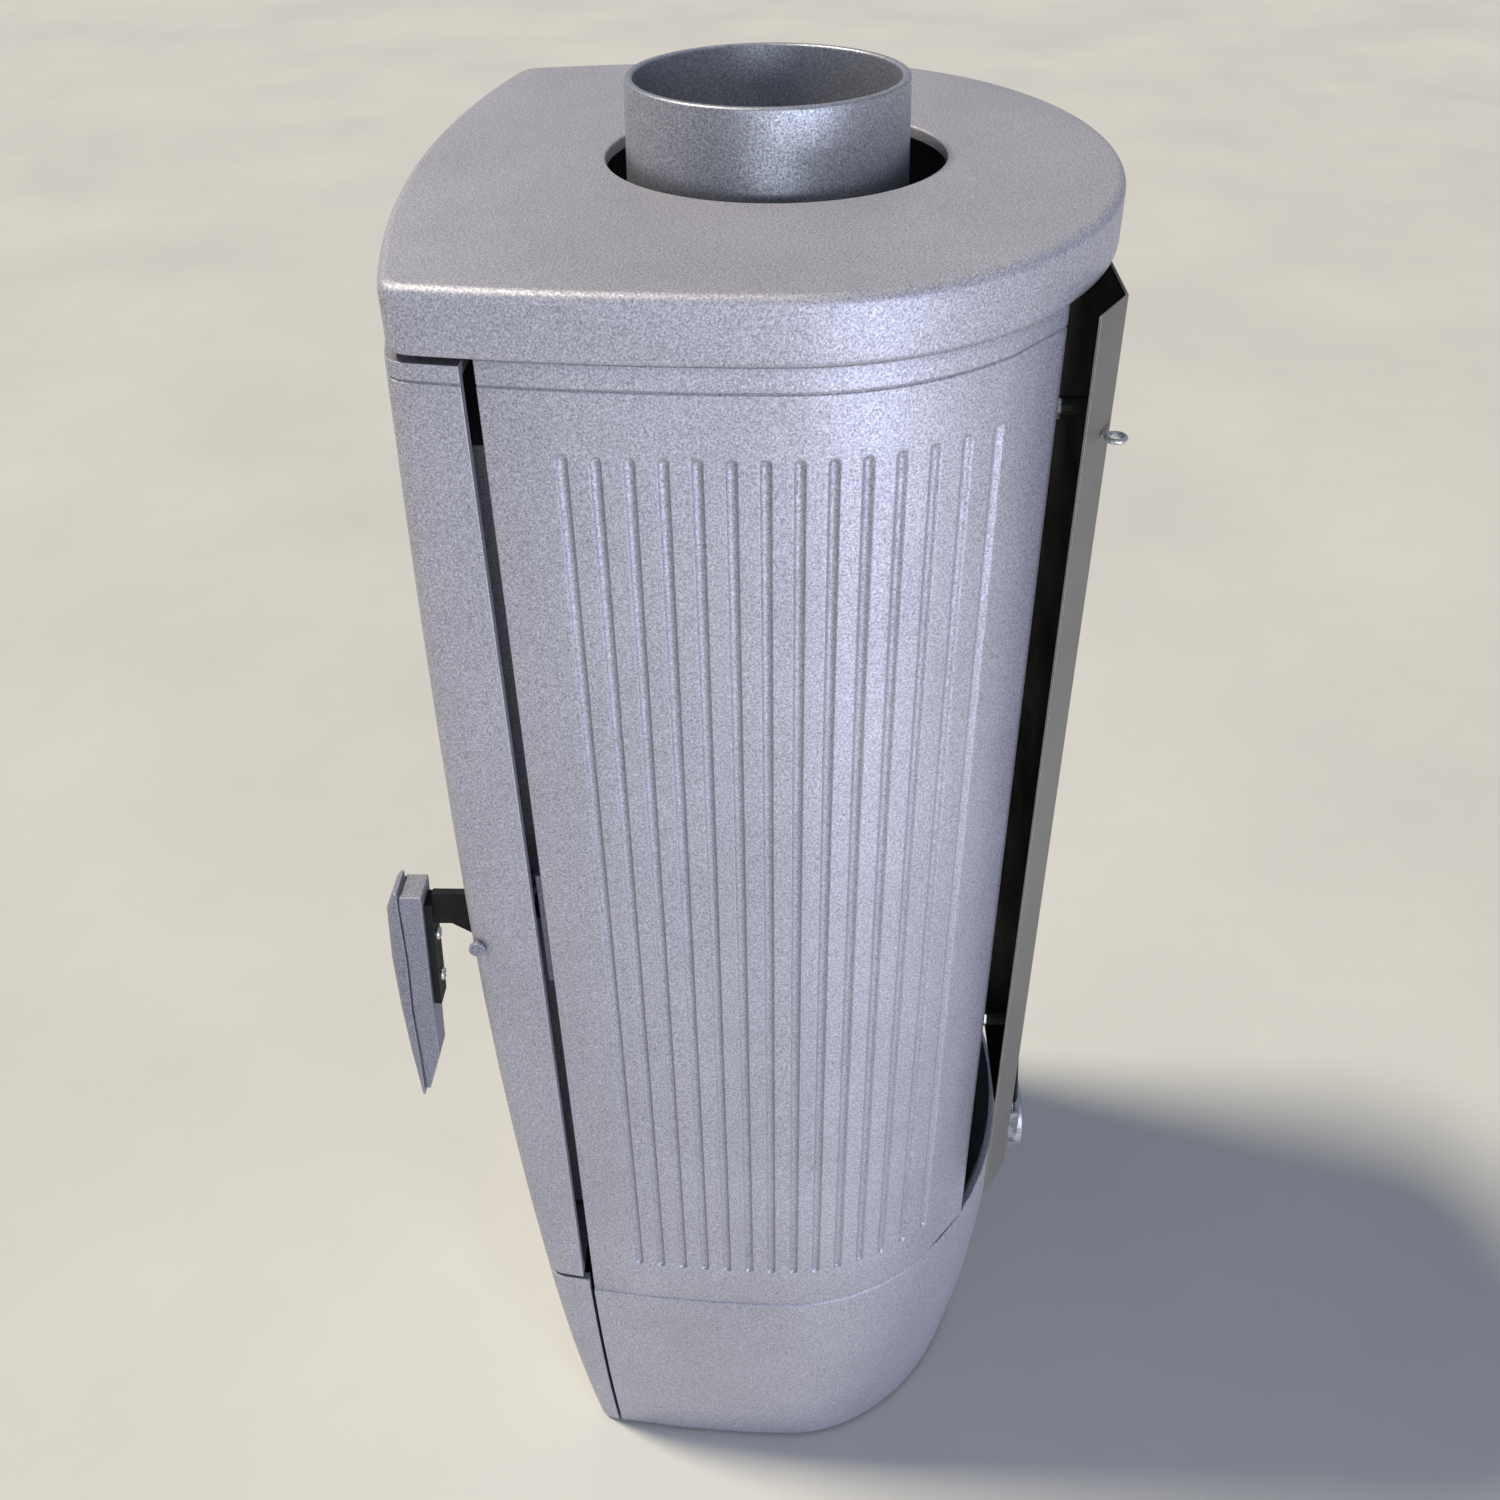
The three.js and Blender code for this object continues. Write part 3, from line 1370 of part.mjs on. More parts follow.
const drawerFrontY = () => (
  frontYAt(drawerHalfWidth, frontInsetAt(drawerBottomZ) + baseFrontWall) + seatGap
);

function ashDrawer() {
  const frontY = drawerFrontY();
  const rearY = frontY + drawerDepth;
  const topZ = drawerBottomZ + drawerHeight;
  const tray = spanOf(-drawerHalfWidth, drawerHalfWidth, frontY, rearY, drawerBottomZ, topZ);
  const inside = spanOf(
    drawerWall - drawerHalfWidth,
    drawerHalfWidth - drawerWall,
    frontY + drawerWall,
    rearY - drawerWall,
    drawerBottomZ + drawerWall,
    topZ + overrun,
  );
  return cut(tray, inside);
}

// An angle rail hung from the hearth plate, under one edge of the drawer.
function drawerRail(mirror) {
  const webX = drawerHalfWidth + 2 * seatGap;
  const ledgeTopZ = drawerBottomZ - seatGap;
  const rearY = drawerFrontY() + drawerDepth;
  const web = spanOf(webX, webX + railWall, railFrontY, rearY, ledgeTopZ - railWall, hearthBottomZ - seatGap);
  const ledge = spanOf(webX - railLedge, webX + railWall, railFrontY, rearY, ledgeTopZ - railWall, ledgeTopZ);
  return facingOut(join(web, ledge).scale(mirror, 1, 1));
}

// Outside air inlet

function airBox() {
  const topZ = hearthBottomZ - seatGap;
  const outer = spanOf(-airBoxHalfWidth, airBoxHalfWidth, airBoxFrontY, airBoxRearY, airBoxBottomZ, topZ);
  const inside = spanOf(
    airBoxWall - airBoxHalfWidth,
    airBoxHalfWidth - airBoxWall,
    airBoxFrontY - overrun,
    airBoxRearY - airBoxWall,
    airBoxBottomZ + airBoxWall,
    topZ - airBoxWall,
  );
  const mouthRadius = spigotRadius - spigotWall;
  const mouth = rodY(mouthRadius, airBoxFrontY, airBoxRearY + overrun, 0, spigotZ, roundSegments);
  return cut(outer, inside, mouth);
}

// Galvanised tube with a bolting flange inside and a slotted cheek for the gate outside.
function airSpigot() {
  const frontY = airBoxRearY + seatGap;
  const boreRadius = spigotRadius - spigotWall;
  const tube = rodY(spigotRadius, frontY, spigotEndY, 0, spigotZ, roundSegments);
  const flange = rodY(spigotFlangeRadius, frontY, frontY + spigotFlangeWall, 0, spigotZ, roundSegments);
  const halfSlot = gateWall / 2 + seatGap;
  const cheek = spanOf(
    -spigotRadius,
    spigotRadius,
    gateY - halfSlot - gateCheekWall,
    gateY + halfSlot + gateCheekWall,
    spigotZ,
    spigotZ + spigotRadius + gateCheekRise,
  );
  const bore = rodY(boreRadius, frontY - overrun, spigotEndY + overrun, 0, spigotZ, roundSegments);
  const slotReach = gateRadius + seatGap;
  const slot = spanOf(-slotReach, slotReach, gateY - halfSlot, gateY + halfSlot, spigotZ, plateTopZ);
  return cut(join(tube, flange, cheek), bore, slot);
}

// Sliding gate, drawn up clear of the bore, with a tapering tongue to hold it by.
function airGate() {
  const bottomZ = spigotZ + spigotRadius - spigotWall;
  const middleZ = bottomZ + gateRadius;
  const outline = new THREE.Shape();
  outline.absarc(0, middleZ, gateRadius, Math.PI, 2 * Math.PI);
  outline.lineTo(gateTipWidth / 2, gateTopZ);
  outline.lineTo(-gateTipWidth / 2, gateTopZ);
  outline.closePath();
  const options = { depth: gateWall, bevelEnabled: false, curveSegments: gateSegments };
  const gate = new THREE.ExtrudeGeometry(outline, options).rotateX(Math.PI / 2);
  return gate.translate(0, gateY + gateWall / 2, 0);
}

// Assembly

const stove = new THREE.Group();

function pivotGroup(x, y, z) {
  const group = new THREE.Group();
  group.position.set(x, y, z);
  return group;
}

// Adds a piece, drawn in the stove's own frame, to a group that may have moved.
function place(group, name, geometry, material) {
  const mesh = new THREE.Mesh(merged(geometry), material);
  mesh.name = name;
  group.updateWorldMatrix(true, false);
  group.attach(mesh);
}

const casing = pivotGroup(0, 0, 0);
stove.add(casing);
place(casing, 'top_plate', topPlate(), greyPaint);
place(casing, 'side_panel_right', sidePanel(1), greyPaint);
place(casing, 'side_panel_left', sidePanel(-1), greyPaint);
place(casing, 'back_panel', backPanel(), blackPaint);
place(casing, 'base_skirt', baseSkirt(), greyPaint);
const footNames = ['foot_front_right', 'foot_front_left', 'foot_rear_right', 'foot_rear_left'];
footPlaces().forEach(([x, y], order) => place(casing, footNames[order], levellingFoot(x, y), darkIron));

const chamber = pivotGroup(0, 0, 0);
stove.add(chamber);
place(chamber, 'hearth_plate', hearthPlate(), blackPaint);
place(chamber, 'grate', grate(), darkIron);
place(chamber, 'front_frame', frontFrame(), blackPaint);
place(chamber, 'chamber_side_right', chamberSide(1), blackPaint);
place(chamber, 'chamber_side_left', chamberSide(-1), blackPaint);
place(chamber, 'chamber_back', chamberBack(), blackPaint);
place(chamber, 'chamber_top', chamberTop(), blackPaint);
place(chamber, 'flue_collar', flueCollar(), greyPaint);
place(chamber, 'liner_back', linerBack(), linerClay);
place(chamber, 'liner_right', linerSide(1), linerClay);
place(chamber, 'liner_left', linerSide(-1), linerClay);
place(chamber, 'baffle', baffle(), linerClay);
place(chamber, 'log_guard', logGuard(), darkIron);
place(chamber, 'latch_keeper', latchKeeper(), paleSteel);
place(chamber, 'hinge_bracket_lower', hingeBracket(hingeLowerZ), darkIron);
place(chamber, 'hinge_bracket_upper', hingeBracket(hingeUpperZ), darkIron);
place(chamber, 'hinge_pin_lower', hingePin(hingeLowerZ), paleSteel);
place(chamber, 'hinge_pin_upper', hingePin(hingeUpperZ), paleSteel);

const rear = pivotGroup(0, shieldBackY, 0);
stove.add(rear);
place(rear, 'heat_shield', heatShield(), greyPaint);
place(rear, 'spacer_upper_right', shieldSpacer(shieldSpacerX, shieldSpacerUpperZ), paleSteel);
place(rear, 'spacer_upper_left', shieldSpacer(-shieldSpacerX, shieldSpacerUpperZ), paleSteel);
place(rear, 'spacer_lower_right', shieldSpacer(shieldSpacerX, shieldSpacerLowerZ), paleSteel);
place(rear, 'spacer_lower_left', shieldSpacer(-shieldSpacerX, shieldSpacerLowerZ), paleSteel);
place(rear, 'shield_eye', shieldEye(), darkIron);
place(rear, 'air_box', airBox(), paleSteel);
place(rear, 'air_spigot', airSpigot(), paleSteel);
place(rear, 'air_gate', airGate(), blackPaint);

const door = pivotGroup(hingeX, hingeY, 0);
stove.add(door);
place(door, 'door_frame', doorFrame(), greyPaint);
place(door, 'door_glass', doorGlass(), ceramicGlass);
place(door, 'glass_tape', glassTape(), ropeWhite);
place(door, 'glass_clip_top_right', glassClip(clipX, 1), paleSteel);
place(door, 'glass_clip_top_left', glassClip(-clipX, 1), paleSteel);
place(door, 'glass_clip_bottom_right', glassClip(clipX, -1), paleSteel);
place(door, 'glass_clip_bottom_left', glassClip(-clipX, -1), paleSteel);
place(door, 'door_rope', doorRope(), ropeWhite);
place(door, 'pivot_pin', pivotPin(), darkIron);

const handle = pivotGroup(handleX - hingeX, pivotY - hingeY, pivotZ);
door.add(handle);
place(handle, 'handle_strap', handleStrap(), blackPaint);
place(handle, 'handle_grip', handleGrip(), greyPaint);
place(handle, 'grip_screw_upper', gripScrew(gripScrewUpperZ), paleSteel);
place(handle, 'grip_screw_lower', gripScrew(gripScrewLowerZ), paleSteel);

const drawer = pivotGroup(0, drawerFrontY(), drawerBottomZ);
stove.add(drawer);
place(drawer, 'ash_drawer', ashDrawer(), paleSteel);
place(drawer, 'base_front', baseFront(), greyPaint);
const rails = pivotGroup(0, 0, 0);
stove.add(rails);
place(rails, 'drawer_rail_right', drawerRail(1), paleSteel);
place(rails, 'drawer_rail_left', drawerRail(-1), paleSteel);

// The origin is the middle of the footprint: half way from the grip's face to the spigot's end.
stove.position.y = -(gripFrontY + spigotEndY) / 2;

export default stove;
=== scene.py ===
"""Looks of a cast iron wood stove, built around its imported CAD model.

Lengths are in millimetres, in the CAD part's own frame, until metres() turns them into the
row frame: +Z is up, the door faces -Y and +X is to the right of someone facing the door.
Finishes, lights and the camera are in metres, in the row frame. A name that ends in share or
shares holds parts of another size, such as a radius or a depth.
"""

import json
import math

import bpy
from mathutils import Matrix, Vector

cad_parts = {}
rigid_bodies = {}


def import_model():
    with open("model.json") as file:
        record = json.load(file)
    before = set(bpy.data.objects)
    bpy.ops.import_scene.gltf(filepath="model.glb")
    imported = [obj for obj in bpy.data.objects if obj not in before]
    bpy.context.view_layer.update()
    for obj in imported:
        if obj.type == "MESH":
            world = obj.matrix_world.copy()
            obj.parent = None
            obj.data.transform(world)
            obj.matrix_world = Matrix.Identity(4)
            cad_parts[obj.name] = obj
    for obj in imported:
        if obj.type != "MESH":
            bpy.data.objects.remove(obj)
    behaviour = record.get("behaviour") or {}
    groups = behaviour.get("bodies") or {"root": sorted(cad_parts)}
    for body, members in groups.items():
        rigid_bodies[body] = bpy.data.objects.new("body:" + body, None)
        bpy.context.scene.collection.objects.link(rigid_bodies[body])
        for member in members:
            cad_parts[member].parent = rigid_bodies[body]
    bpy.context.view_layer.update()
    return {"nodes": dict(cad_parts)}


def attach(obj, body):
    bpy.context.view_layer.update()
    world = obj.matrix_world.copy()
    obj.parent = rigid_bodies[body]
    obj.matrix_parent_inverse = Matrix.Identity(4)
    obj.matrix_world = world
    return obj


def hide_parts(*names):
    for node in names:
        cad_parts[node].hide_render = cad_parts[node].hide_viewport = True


# Where the CAD part's own frame lies in the row frame
METRE = 0.001
SHIFT_Y = 11

# Hull outline seen from above
HALF_WIDTH = 242
WIDEST_Y = 17
BACK_DEPTH = 191
SIDE_SWEEP = 520
FRONT_REACH = 203
FRONT_RADIUS = 960
CORNER_RADIUS = 10

# Top plate
PLATE_TOP_Z = 1040
PLATE_BOTTOM_Z = 1005
PLATE_WALL = 7
PLATE_EDGE_RADIUS = 6
PLATE_LIP_RADIUS = 3.5
FLUE_HOLE_RADIUS = 100
FLUE_HOLE_Y = 8
FLUE_HOLE_EDGE = 1.6

# Side panels
PANEL_INSET = 4
PANEL_WALL = 5
PANEL_FRONT_Y = -134.6
PANEL_REAR_X = 150
PANEL_BOTTOM_Z = 234.3
PANEL_TOP_Z = 1004.7
PANEL_EDGE = 0.9
PANEL_EDGE_SHARES = (0, 0.15, 0.45, 1)
GROOVE_COUNT = 14
GROOVE_PITCH = 17
FIRST_GROOVE_Y = -95.5
GROOVE_RADIUS = 3.2
GROOVE_DEPTH = 2.2
GROOVE_TOP_Z = 957
GROOVE_BOTTOM_Z = 276
GROOVE_SOFTNESS = 0.3
GROOVE_RUNOUT_SLOPE = 3
GROOVE_RUNOUT_DEPTH = 2
GROOVE_COLUMN_SHARES = (-1.5, -1.2, -1, -0.85, -0.6, -0.3, 0, 0.3, 0.6, 0.85, 1, 1.2, 1.5)
GROOVE_END_SHARES = (-0.3, 0, 0.12, 0.3, 0.55, 0.8, 1, 1.3)
BAND_Z = 991
BAND_HALF_HEIGHT = 1
BAND_DEPTH = 1
BAND_ROW_SHARES = (-1.5, -1, -0.5, 0, 0.5, 1, 1.5)

# Flue collar
COLLAR_Y = 3
COLLAR_FOOT_Z = 912.6
COLLAR_TOP_Z = 1083
COLLAR_RIM_RADIUS = 82
COLLAR_FOOT_RADIUS = 86
COLLAR_BORE = 77
COLLAR_FLANGE_RADIUS = 96
COLLAR_FLANGE_HEIGHT = 8
COLLAR_RIM_EDGE = 1.6

# Heat shield
SHIELD_BACK_Y = 194
SHIELD_HALF_WIDTH = 140
SHIELD_WING_X = 32
SHIELD_WING_Y = 19
SHIELD_WALL = 1.5
SHIELD_BOTTOM_Z = 290
SHIELD_TOP_Z = 1004
SHIELD_BEND = 4

# Door rope
ROPE_RADIUS = 4
ROPE_HALF_WIDTH = 160
ROPE_BOTTOM_Z = 266
ROPE_TOP_Z = 926
ROPE_Y = -136.3
ROPE_CORNER = 9
ROPE_STRANDS = 4
ROPE_VALLEY_SHARE = 0.82
ROPE_TWIST_LENGTH = 14
ROPE_STEP = 3.2

# Grip: a body that narrows downwards, and a bevelled front plate past a thin seam. Each level
# holds its height, its depths from back to front and its width, all as shares of the grip's own
HANDLE_X = 184
GRIP_FRONT_Y = -253
GRIP_DEPTH = 37.5
GRIP_TOP_Z = 650
GRIP_BOTTOM_Z = 424
GRIP_BODY_HALF_WIDTH = 12.5
GRIP_PLATE_HALF_WIDTH = 13
GRIP_PLATE_BEVEL_SHARE = 0.4
GRIP_SEAM_BACK_SHARE = 0.044
GRIP_SEAM_FRONT_SHARE = 0.066
GRIP_SEAM_DEPTH = 2
GRIP_EDGE = 0.6
GRIP_BACK_UPPER_SHARES = (0.84, 0.21)
GRIP_BACK_LOWER_SHARES = (0.24, 0.43)
GRIP_BODY_SHARES = (
    (0.885, 0.19, 0.58, 0.96),
    (0.86, 0.2, 0.598, 1),
    (0.63, 0.287, 0.642, 1),
    (0.41, 0.368, 0.743, 1),
    (0.2, 0.445, 0.798, 0.78),
    (0.02, 0.8, 0.885, 0.46),
)
GRIP_PLATE_SHARES = (
    (0.9, 0.61, 0.66, 0.7, 0.94),
    (0.83, 0.63, 0.76, 0.87, 1),
    (0.63, 0.67, 0.85, 0.97, 1),
    (0.41, 0.77, 0.9, 1, 1),
    (0.2, 0.825, 0.94, 1, 0.86),
    (0, 0.91, 0.95, 0.97, 0.62),
)

# Screws through the lever's tail into the grip. The dome's shares are of radius and height
SCREW_HEIGHTS = {"grip_screw_upper": 582, "grip_screw_lower": 543}
SCREW_SHANK_RADIUS = 2.2
SCREW_DEPTH = 11
SCREW_HEAD_RADIUS = 4.4
SCREW_HEAD_START = 5.6
SCREW_HEAD_HEIGHT = 2.5
SCREW_DOME_SHARES = ((1, 0), (1, 0.35), (0.93, 0.62), (0.8, 0.84), (0.62, 0.96), (0.52, 1))
SCREW_SOCKET_RADIUS = 2
SCREW_SOCKET_DEPTH = 1.3
SCREW_SOCKET_SIDES = 6

# Small eye on the heat shield's wing
EYE_PLACE_SHARE = 0.35
EYE_Z = 931
EYE_RING_RADIUS = 5
EYE_WIRE_RADIUS = 1.7
EYE_SHANK_RADIUS = 1.3 * EYE_WIRE_RADIUS
EYE_SHANK_LENGTH = 3
EYE_SHANK_START = 0.3

# Nuts on the heat shield's spacers, with each spacer's x and z
NUT_START_Y = 163
NUT_LENGTH = 4
NUT_SIDES = 6
NUT_CORNER_RADIUS = 7.02
NUT_END_SHARE = 0.9
NUT_CHAMFER = 0.8
SPACER_PLACES = {
    "upper_right": (132, 939),
    "upper_left": (-132, 939),
    "lower_right": (132, 451),
    "lower_left": (-132, 451),
}

# Real rounded edges on three CAD nodes
NODE_EDGES = {"handle_strap": 0.5, "latch_keeper": 0.5, "log_guard": 1}

# How finely curves and long faces are divided
FRONT_STEPS = 28
CORNER_STEPS = 8
CORNER_SEARCH_STEPS = 40
SIDE_STEPS = 72
EDGE_STEPS = 6
EDGE_SEGMENTS = 3
TURNED_STEPS = 112
PLATE_TOP_STEPS = 5
PLATE_CEILING_STEPS = 3
FLUTE_STEPS = 12
SHIELD_STEPS = 8
SHIELD_BEND_STEPS = 5
ROPE_CORNER_STEPS = 8
ROPE_ROUND_STEPS = 16
EYE_RING_STEPS = 48
EYE_WIRE_STEPS = 16
SCREW_STEPS = 36

# Turns beyond which an edge shows as sharp or is rounded, in degrees
SHARP_ANGLE = 40
PANEL_SHARP_ANGLE = 50
ROPE_SHARP_ANGLE = 80
SCREW_SHARP_ANGLE = 30
NUT_SHARP_ANGLE = 20
GRIP_SHARP_ANGLE = 8
GRIP_ROUNDED_ANGLE = 12
NODE_SHARP_ANGLE = 28
NODE_ROUNDED_ANGLE = 24

# How near a CAD node's corners lie to be joined, in metres
NODE_MERGE_DISTANCE = 0.000005

# Tones as red, green and blue: dark and light, and for paints the paler edges too, which are rubbed
# wear and a painted edge highlight
GREY_TONES = ((0.25, 0.246, 0.28), (0.6, 0.592, 0.665), (0.84, 0.83, 0.88))
GRIP_TONES = ((0.15, 0.15, 0.185), (0.38, 0.38, 0.46), (0.8, 0.79, 0.85))
COLLAR_TONES = ((0.22, 0.225, 0.25), (0.56, 0.575, 0.64), (0.72, 0.72, 0.76))
BLACK_TONES = ((0.005, 0.005, 0.006), (0.012, 0.012, 0.014))
IRON_TONES = ((0.02, 0.019, 0.018), (0.05, 0.048, 0.046))
SHIELD_TONES = ((0.17, 0.163, 0.152), (0.2, 0.192, 0.178))
STEEL_TONES = ((0.5, 0.5, 0.5), (0.72, 0.72, 0.71))
ZINC_TONES = ((0.42, 0.44, 0.46), (0.66, 0.68, 0.7))
GLASS_TONES = ((0.6, 0.57, 0.52), (0.7, 0.67, 0.62))
ROPE_TONES = ((0.36, 0.34, 0.3), (0.7, 0.68, 0.62))
CLAY_TONES = ((0.42, 0.33, 0.23), (0.62, 0.52, 0.38))
SOOT_TONE = (0.12, 0.11, 0.1)
FLOOR_TONES = ((0.49, 0.487, 0.47), (0.55, 0.547, 0.525))

# Roughness where a finish's texture is low and where it is high
PAINT_ROUGHNESS = (0.6, 0.44)
COLLAR_ROUGHNESS = (0.48, 0.32)
BLACK_ROUGHNESS = (0.45, 0.65)
IRON_ROUGHNESS = (0.45, 0.7)
SHIELD_ROUGHNESS = (0.5, 0.58)
STEEL_ROUGHNESS = (0.25, 0.42)
ZINC_ROUGHNESS = (0.3, 0.5)
GLASS_ROUGHNESS = (0.03, 0.09)
ROPE_ROUGHNESS = (0.8, 0.98)
CLAY_ROUGHNESS = (0.82, 0.98)
FLOOR_ROUGHNESS = (0.65, 0.8)

# Noise textures: how often they repeat in a metre, their detail and their roughness
PAINT_GRAIN = (800, 4, 0.75)
PAINT_PATCHES = (7, 5, 0.6)
CASTING = (95, 4, 0.6)
IRON_GRAIN = (420, 4, 0.7)
IRON_PATCHES = (18, 5, 0.65)
SCRATCHES = (40, 6, 0.7)
GLASS_HAZE = (6, 5, 0.6)
ROPE_THREADS = (900, 3, 0.6)
ROPE_SOIL = (14, 5, 0.65)
CLAY_GRAIN = (300, 5, 0.7)
CLAY_SOOT = (5, 4, 0.6)
FLOOR_CLOUD = (1.6, 6, 0.6)

# How much closer scratches lie along X, Y and Z
SCRATCH_STRETCH = (9, 1, 9)

# Cell textures: how often they repeat in a metre
PAINT_FLAKE_SCALE = 1520
STEEL_CRYSTAL_SCALE = 900
ZINC_CRYSTAL_SCALE = 130
ROPE_KNOT_SCALE = 420
CLAY_FLAKE_SCALE = 260

# Relief: its depth in metres and its strength
PAINT_GRAIN_RELIEF = (0.00035, 0.55)
CASTING_RELIEF = (0.0006, 0.16)
IRON_GRAIN_RELIEF = (0.0002, 0.4)
SCRATCH_RELIEF = (0.0001, 0.3)
ROPE_THREAD_RELIEF = (0.0003, 0.6)
ROPE_KNOT_RELIEF = (0.0005, 0.5)
CLAY_GRAIN_RELIEF = (0.0008, 0.6)

# Reach of rounded edges, of paler rubbed edges with their painted highlight, and of the painted
# shade in hollows, in metres
PAINT_EDGE = 0.0008
PAINT_RUBBED_HIGHLIGHT_REACH = 0.0012
IRON_EDGE = 0.0005
IRON_RUBBED_HIGHLIGHT_REACH = 0.0009
ZINC_EDGE = 0.0004
CLAY_EDGE = 0.0012
HOLLOW_SHADE_REACH = 0.007

# Rays that look for edges and for the hollows that get painted shade
EDGE_RAYS = 4
HOLLOW_SHADE_RAYS = 6

# Strength of the finishes' effects, from 0 to 1, and the glass's refraction
PAINT_METALLIC = 0.5
COLLAR_METALLIC = 0.7
BLACK_METALLIC = 0
IRON_METALLIC = 0.6
SHIELD_METALLIC = 0.35
ZINC_METALLIC = 0.85
PAINT_FLAKES = 0.2
# Next, how strongly painted shade darkens the paint in grooves and seams
PAINT_HOLLOW_SHADE = 0.5
PAINT_POLISH = 0.12
IRON_SPECULAR = 0.22
ROPE_SHEEN = 0.25
GLASS_CLEARNESS = 0.9
GLASS_REFRACTION = 1.5

# How much brighter dark metal is along its edges, as rubbed wear and a painted edge highlight: a
# factor, and what is added
RUBBED_HIGHLIGHT_FACTOR = 4
RUBBED_HIGHLIGHT_EXTRA = 0.03

# Ranges, and pairs of a range and what it is turned into
WHOLE = (0, 1)
NOISE_RANGE = (0.3, 0.7)
PAINT_GROUND = ((0.34, 0.66), WHOLE)
PAINT_SHADES = (NOISE_RANGE, (0.9, 1.08))
# How unevenly the paint's paler edges show, as rubbed wear and a painted edge highlight
PAINT_WEAR_AND_HIGHLIGHT = ((0.35, 0.7), (0.15, 0.6))
IRON_GROUND = ((0.35, 0.68), WHOLE)
# How unevenly dark metal's paler edges show, as rubbed wear and a painted edge highlight
IRON_WEAR_AND_HIGHLIGHT = ((0.35, 0.65), (0.1, 0.55))
ZINC_SCRATCHED = (NOISE_RANGE, (-0.25, 0.25))
ROPE_WOVEN = ((0, 0.7), WHOLE)
ROPE_SOILED = ((0.35, 0.75), (0, 0.5))
CLAY_SOOTED = ((0.45, 0.75), (0, 0.5))
EDGE_TURNED = ((0.99, 0.8), WHOLE)
# Range of ambient occlusion that is turned into painted shade in hollows
OPEN_AIR = (0.35, 0.95)

# Stage and lights, in metres, watts and degrees
FLOOR_REACH = 14
ROOM_COLOUR = (0.74, 0.81, 1)
ROOM_STRENGTH = 0.38
SKY_DIRECTION = (0.15, 1, -1.75)
SKY_STRENGTH = 3.45
SKY_WIDTH = 9
SKY_COLOUR = (1, 0.92, 0.75)
LIGHT_SPREAD = 75

# Each soft light's place, aim, size, power and colour
SOFT_LIGHTS = {
    "window": ((2, 1.3, 0.5), (0.2, 0, 0.6), 0.6, 6.5, (0.75, 0.8, 1)),
    "lamp": ((2.2, 0.3, 1.16), (0, 0, 1.06), 0.5, 1.5, (0.84, 0.92, 1)),
}

# Camera, as its place in the row frame, its turns and its focal length on a 36 mm sensor
CAMERA_PLACE = (0.89823, 0.03383, 1.27438)
CAMERA_YAW = 0.0399
CAMERA_PITCH = 0.64303
CAMERA_ROLL = -0.01594
CLIP_START = 0.05
IMAGE_SIZE = 1500
FOCAL_PIXELS = 1464.36
SENSOR_WIDTH = 36


def metres(x, y, z):
    """A point of the CAD part's own frame, in the row frame."""
    return (x * METRE, (y + SHIFT_Y) * METRE, z * METRE)


def between(start, end, share):
    return start + (end - start) * share


def steps_between(start, end, count):
    """Evenly spaced places from start to end, both included."""
    return [between(start, end, step / count) for step in range(count + 1)]


def turns_round(count):
    """Evenly spaced directions of a full turn."""
    return [2 * math.pi * step / count for step in range(count)]


# Hull outline

def side_depth(angle):
    """How deep the side curve is, in front of its widest place and behind it."""
    return SIDE_SWEEP if angle < 0 else BACK_DEPTH


def side_point(angle, inset):
    """A point of the right side curve, where a negative angle lies towards the door."""
    return (
        (HALF_WIDTH - inset) * math.cos(angle),
        WIDEST_Y + (side_depth(angle) - inset) * math.sin(angle),
    )


def side_angle_at(y, inset):
    depth = SIDE_SWEEP if y < WIDEST_Y else BACK_DEPTH
    return math.asin((y - WIDEST_Y) / (depth - inset))


def side_normal(angle):
    """The direction straight out of the side curve."""
    return Vector((math.cos(angle) / HALF_WIDTH, math.sin(angle) / side_depth(angle))).normalized()


def front_y_at(x, inset):
    return inset - FRONT_REACH + FRONT_RADIUS - math.sqrt(FRONT_RADIUS**2 - x**2)


def corner_angle(inset):
    """Where the front arc meets the side curve, as an angle on the side curve."""
    front, rear = -math.pi / 2, 0
    for _ in range(CORNER_SEARCH_STEPS):
        middle = (front + rear) / 2
        x, y = side_point(middle, inset)
        if y > front_y_at(x, inset):
            rear = middle
        else:
            front = middle
    return (front + rear) / 2


def curve_point(start, control, end, share):
    """A point on a quadratic curve."""
    return tuple(
        (1 - share) ** 2 * a + 2 * share * (1 - share) * b + share**2 * c
        for a, b, c in zip(start, control, end)
    )


def hull_loop(inset):
    """The whole outline at an inset as a closed loop of points."""
    corner = side_point(corner_angle(inset), inset)
    front_end_x = corner[0] - CORNER_RADIUS
    front = [(x, front_y_at(x, inset)) for x in steps_between(0, front_end_x, FRONT_STEPS)]
    start_angle = side_angle_at(corner[1] + CORNER_RADIUS, inset)
    start = side_point(start_angle, inset)
    rounding = [
        curve_point(front[-1], corner, start, step / CORNER_STEPS)
        for step in range(1, CORNER_STEPS)
    ]
    side = [side_point(a, inset) for a in steps_between(start_angle, math.pi / 2, SIDE_STEPS)]
    half = front + rounding + side
    mirrored = [(-x, y) for x, y in reversed(half)]
    return half[:-1] + mirrored[:-1]


# Mesh building

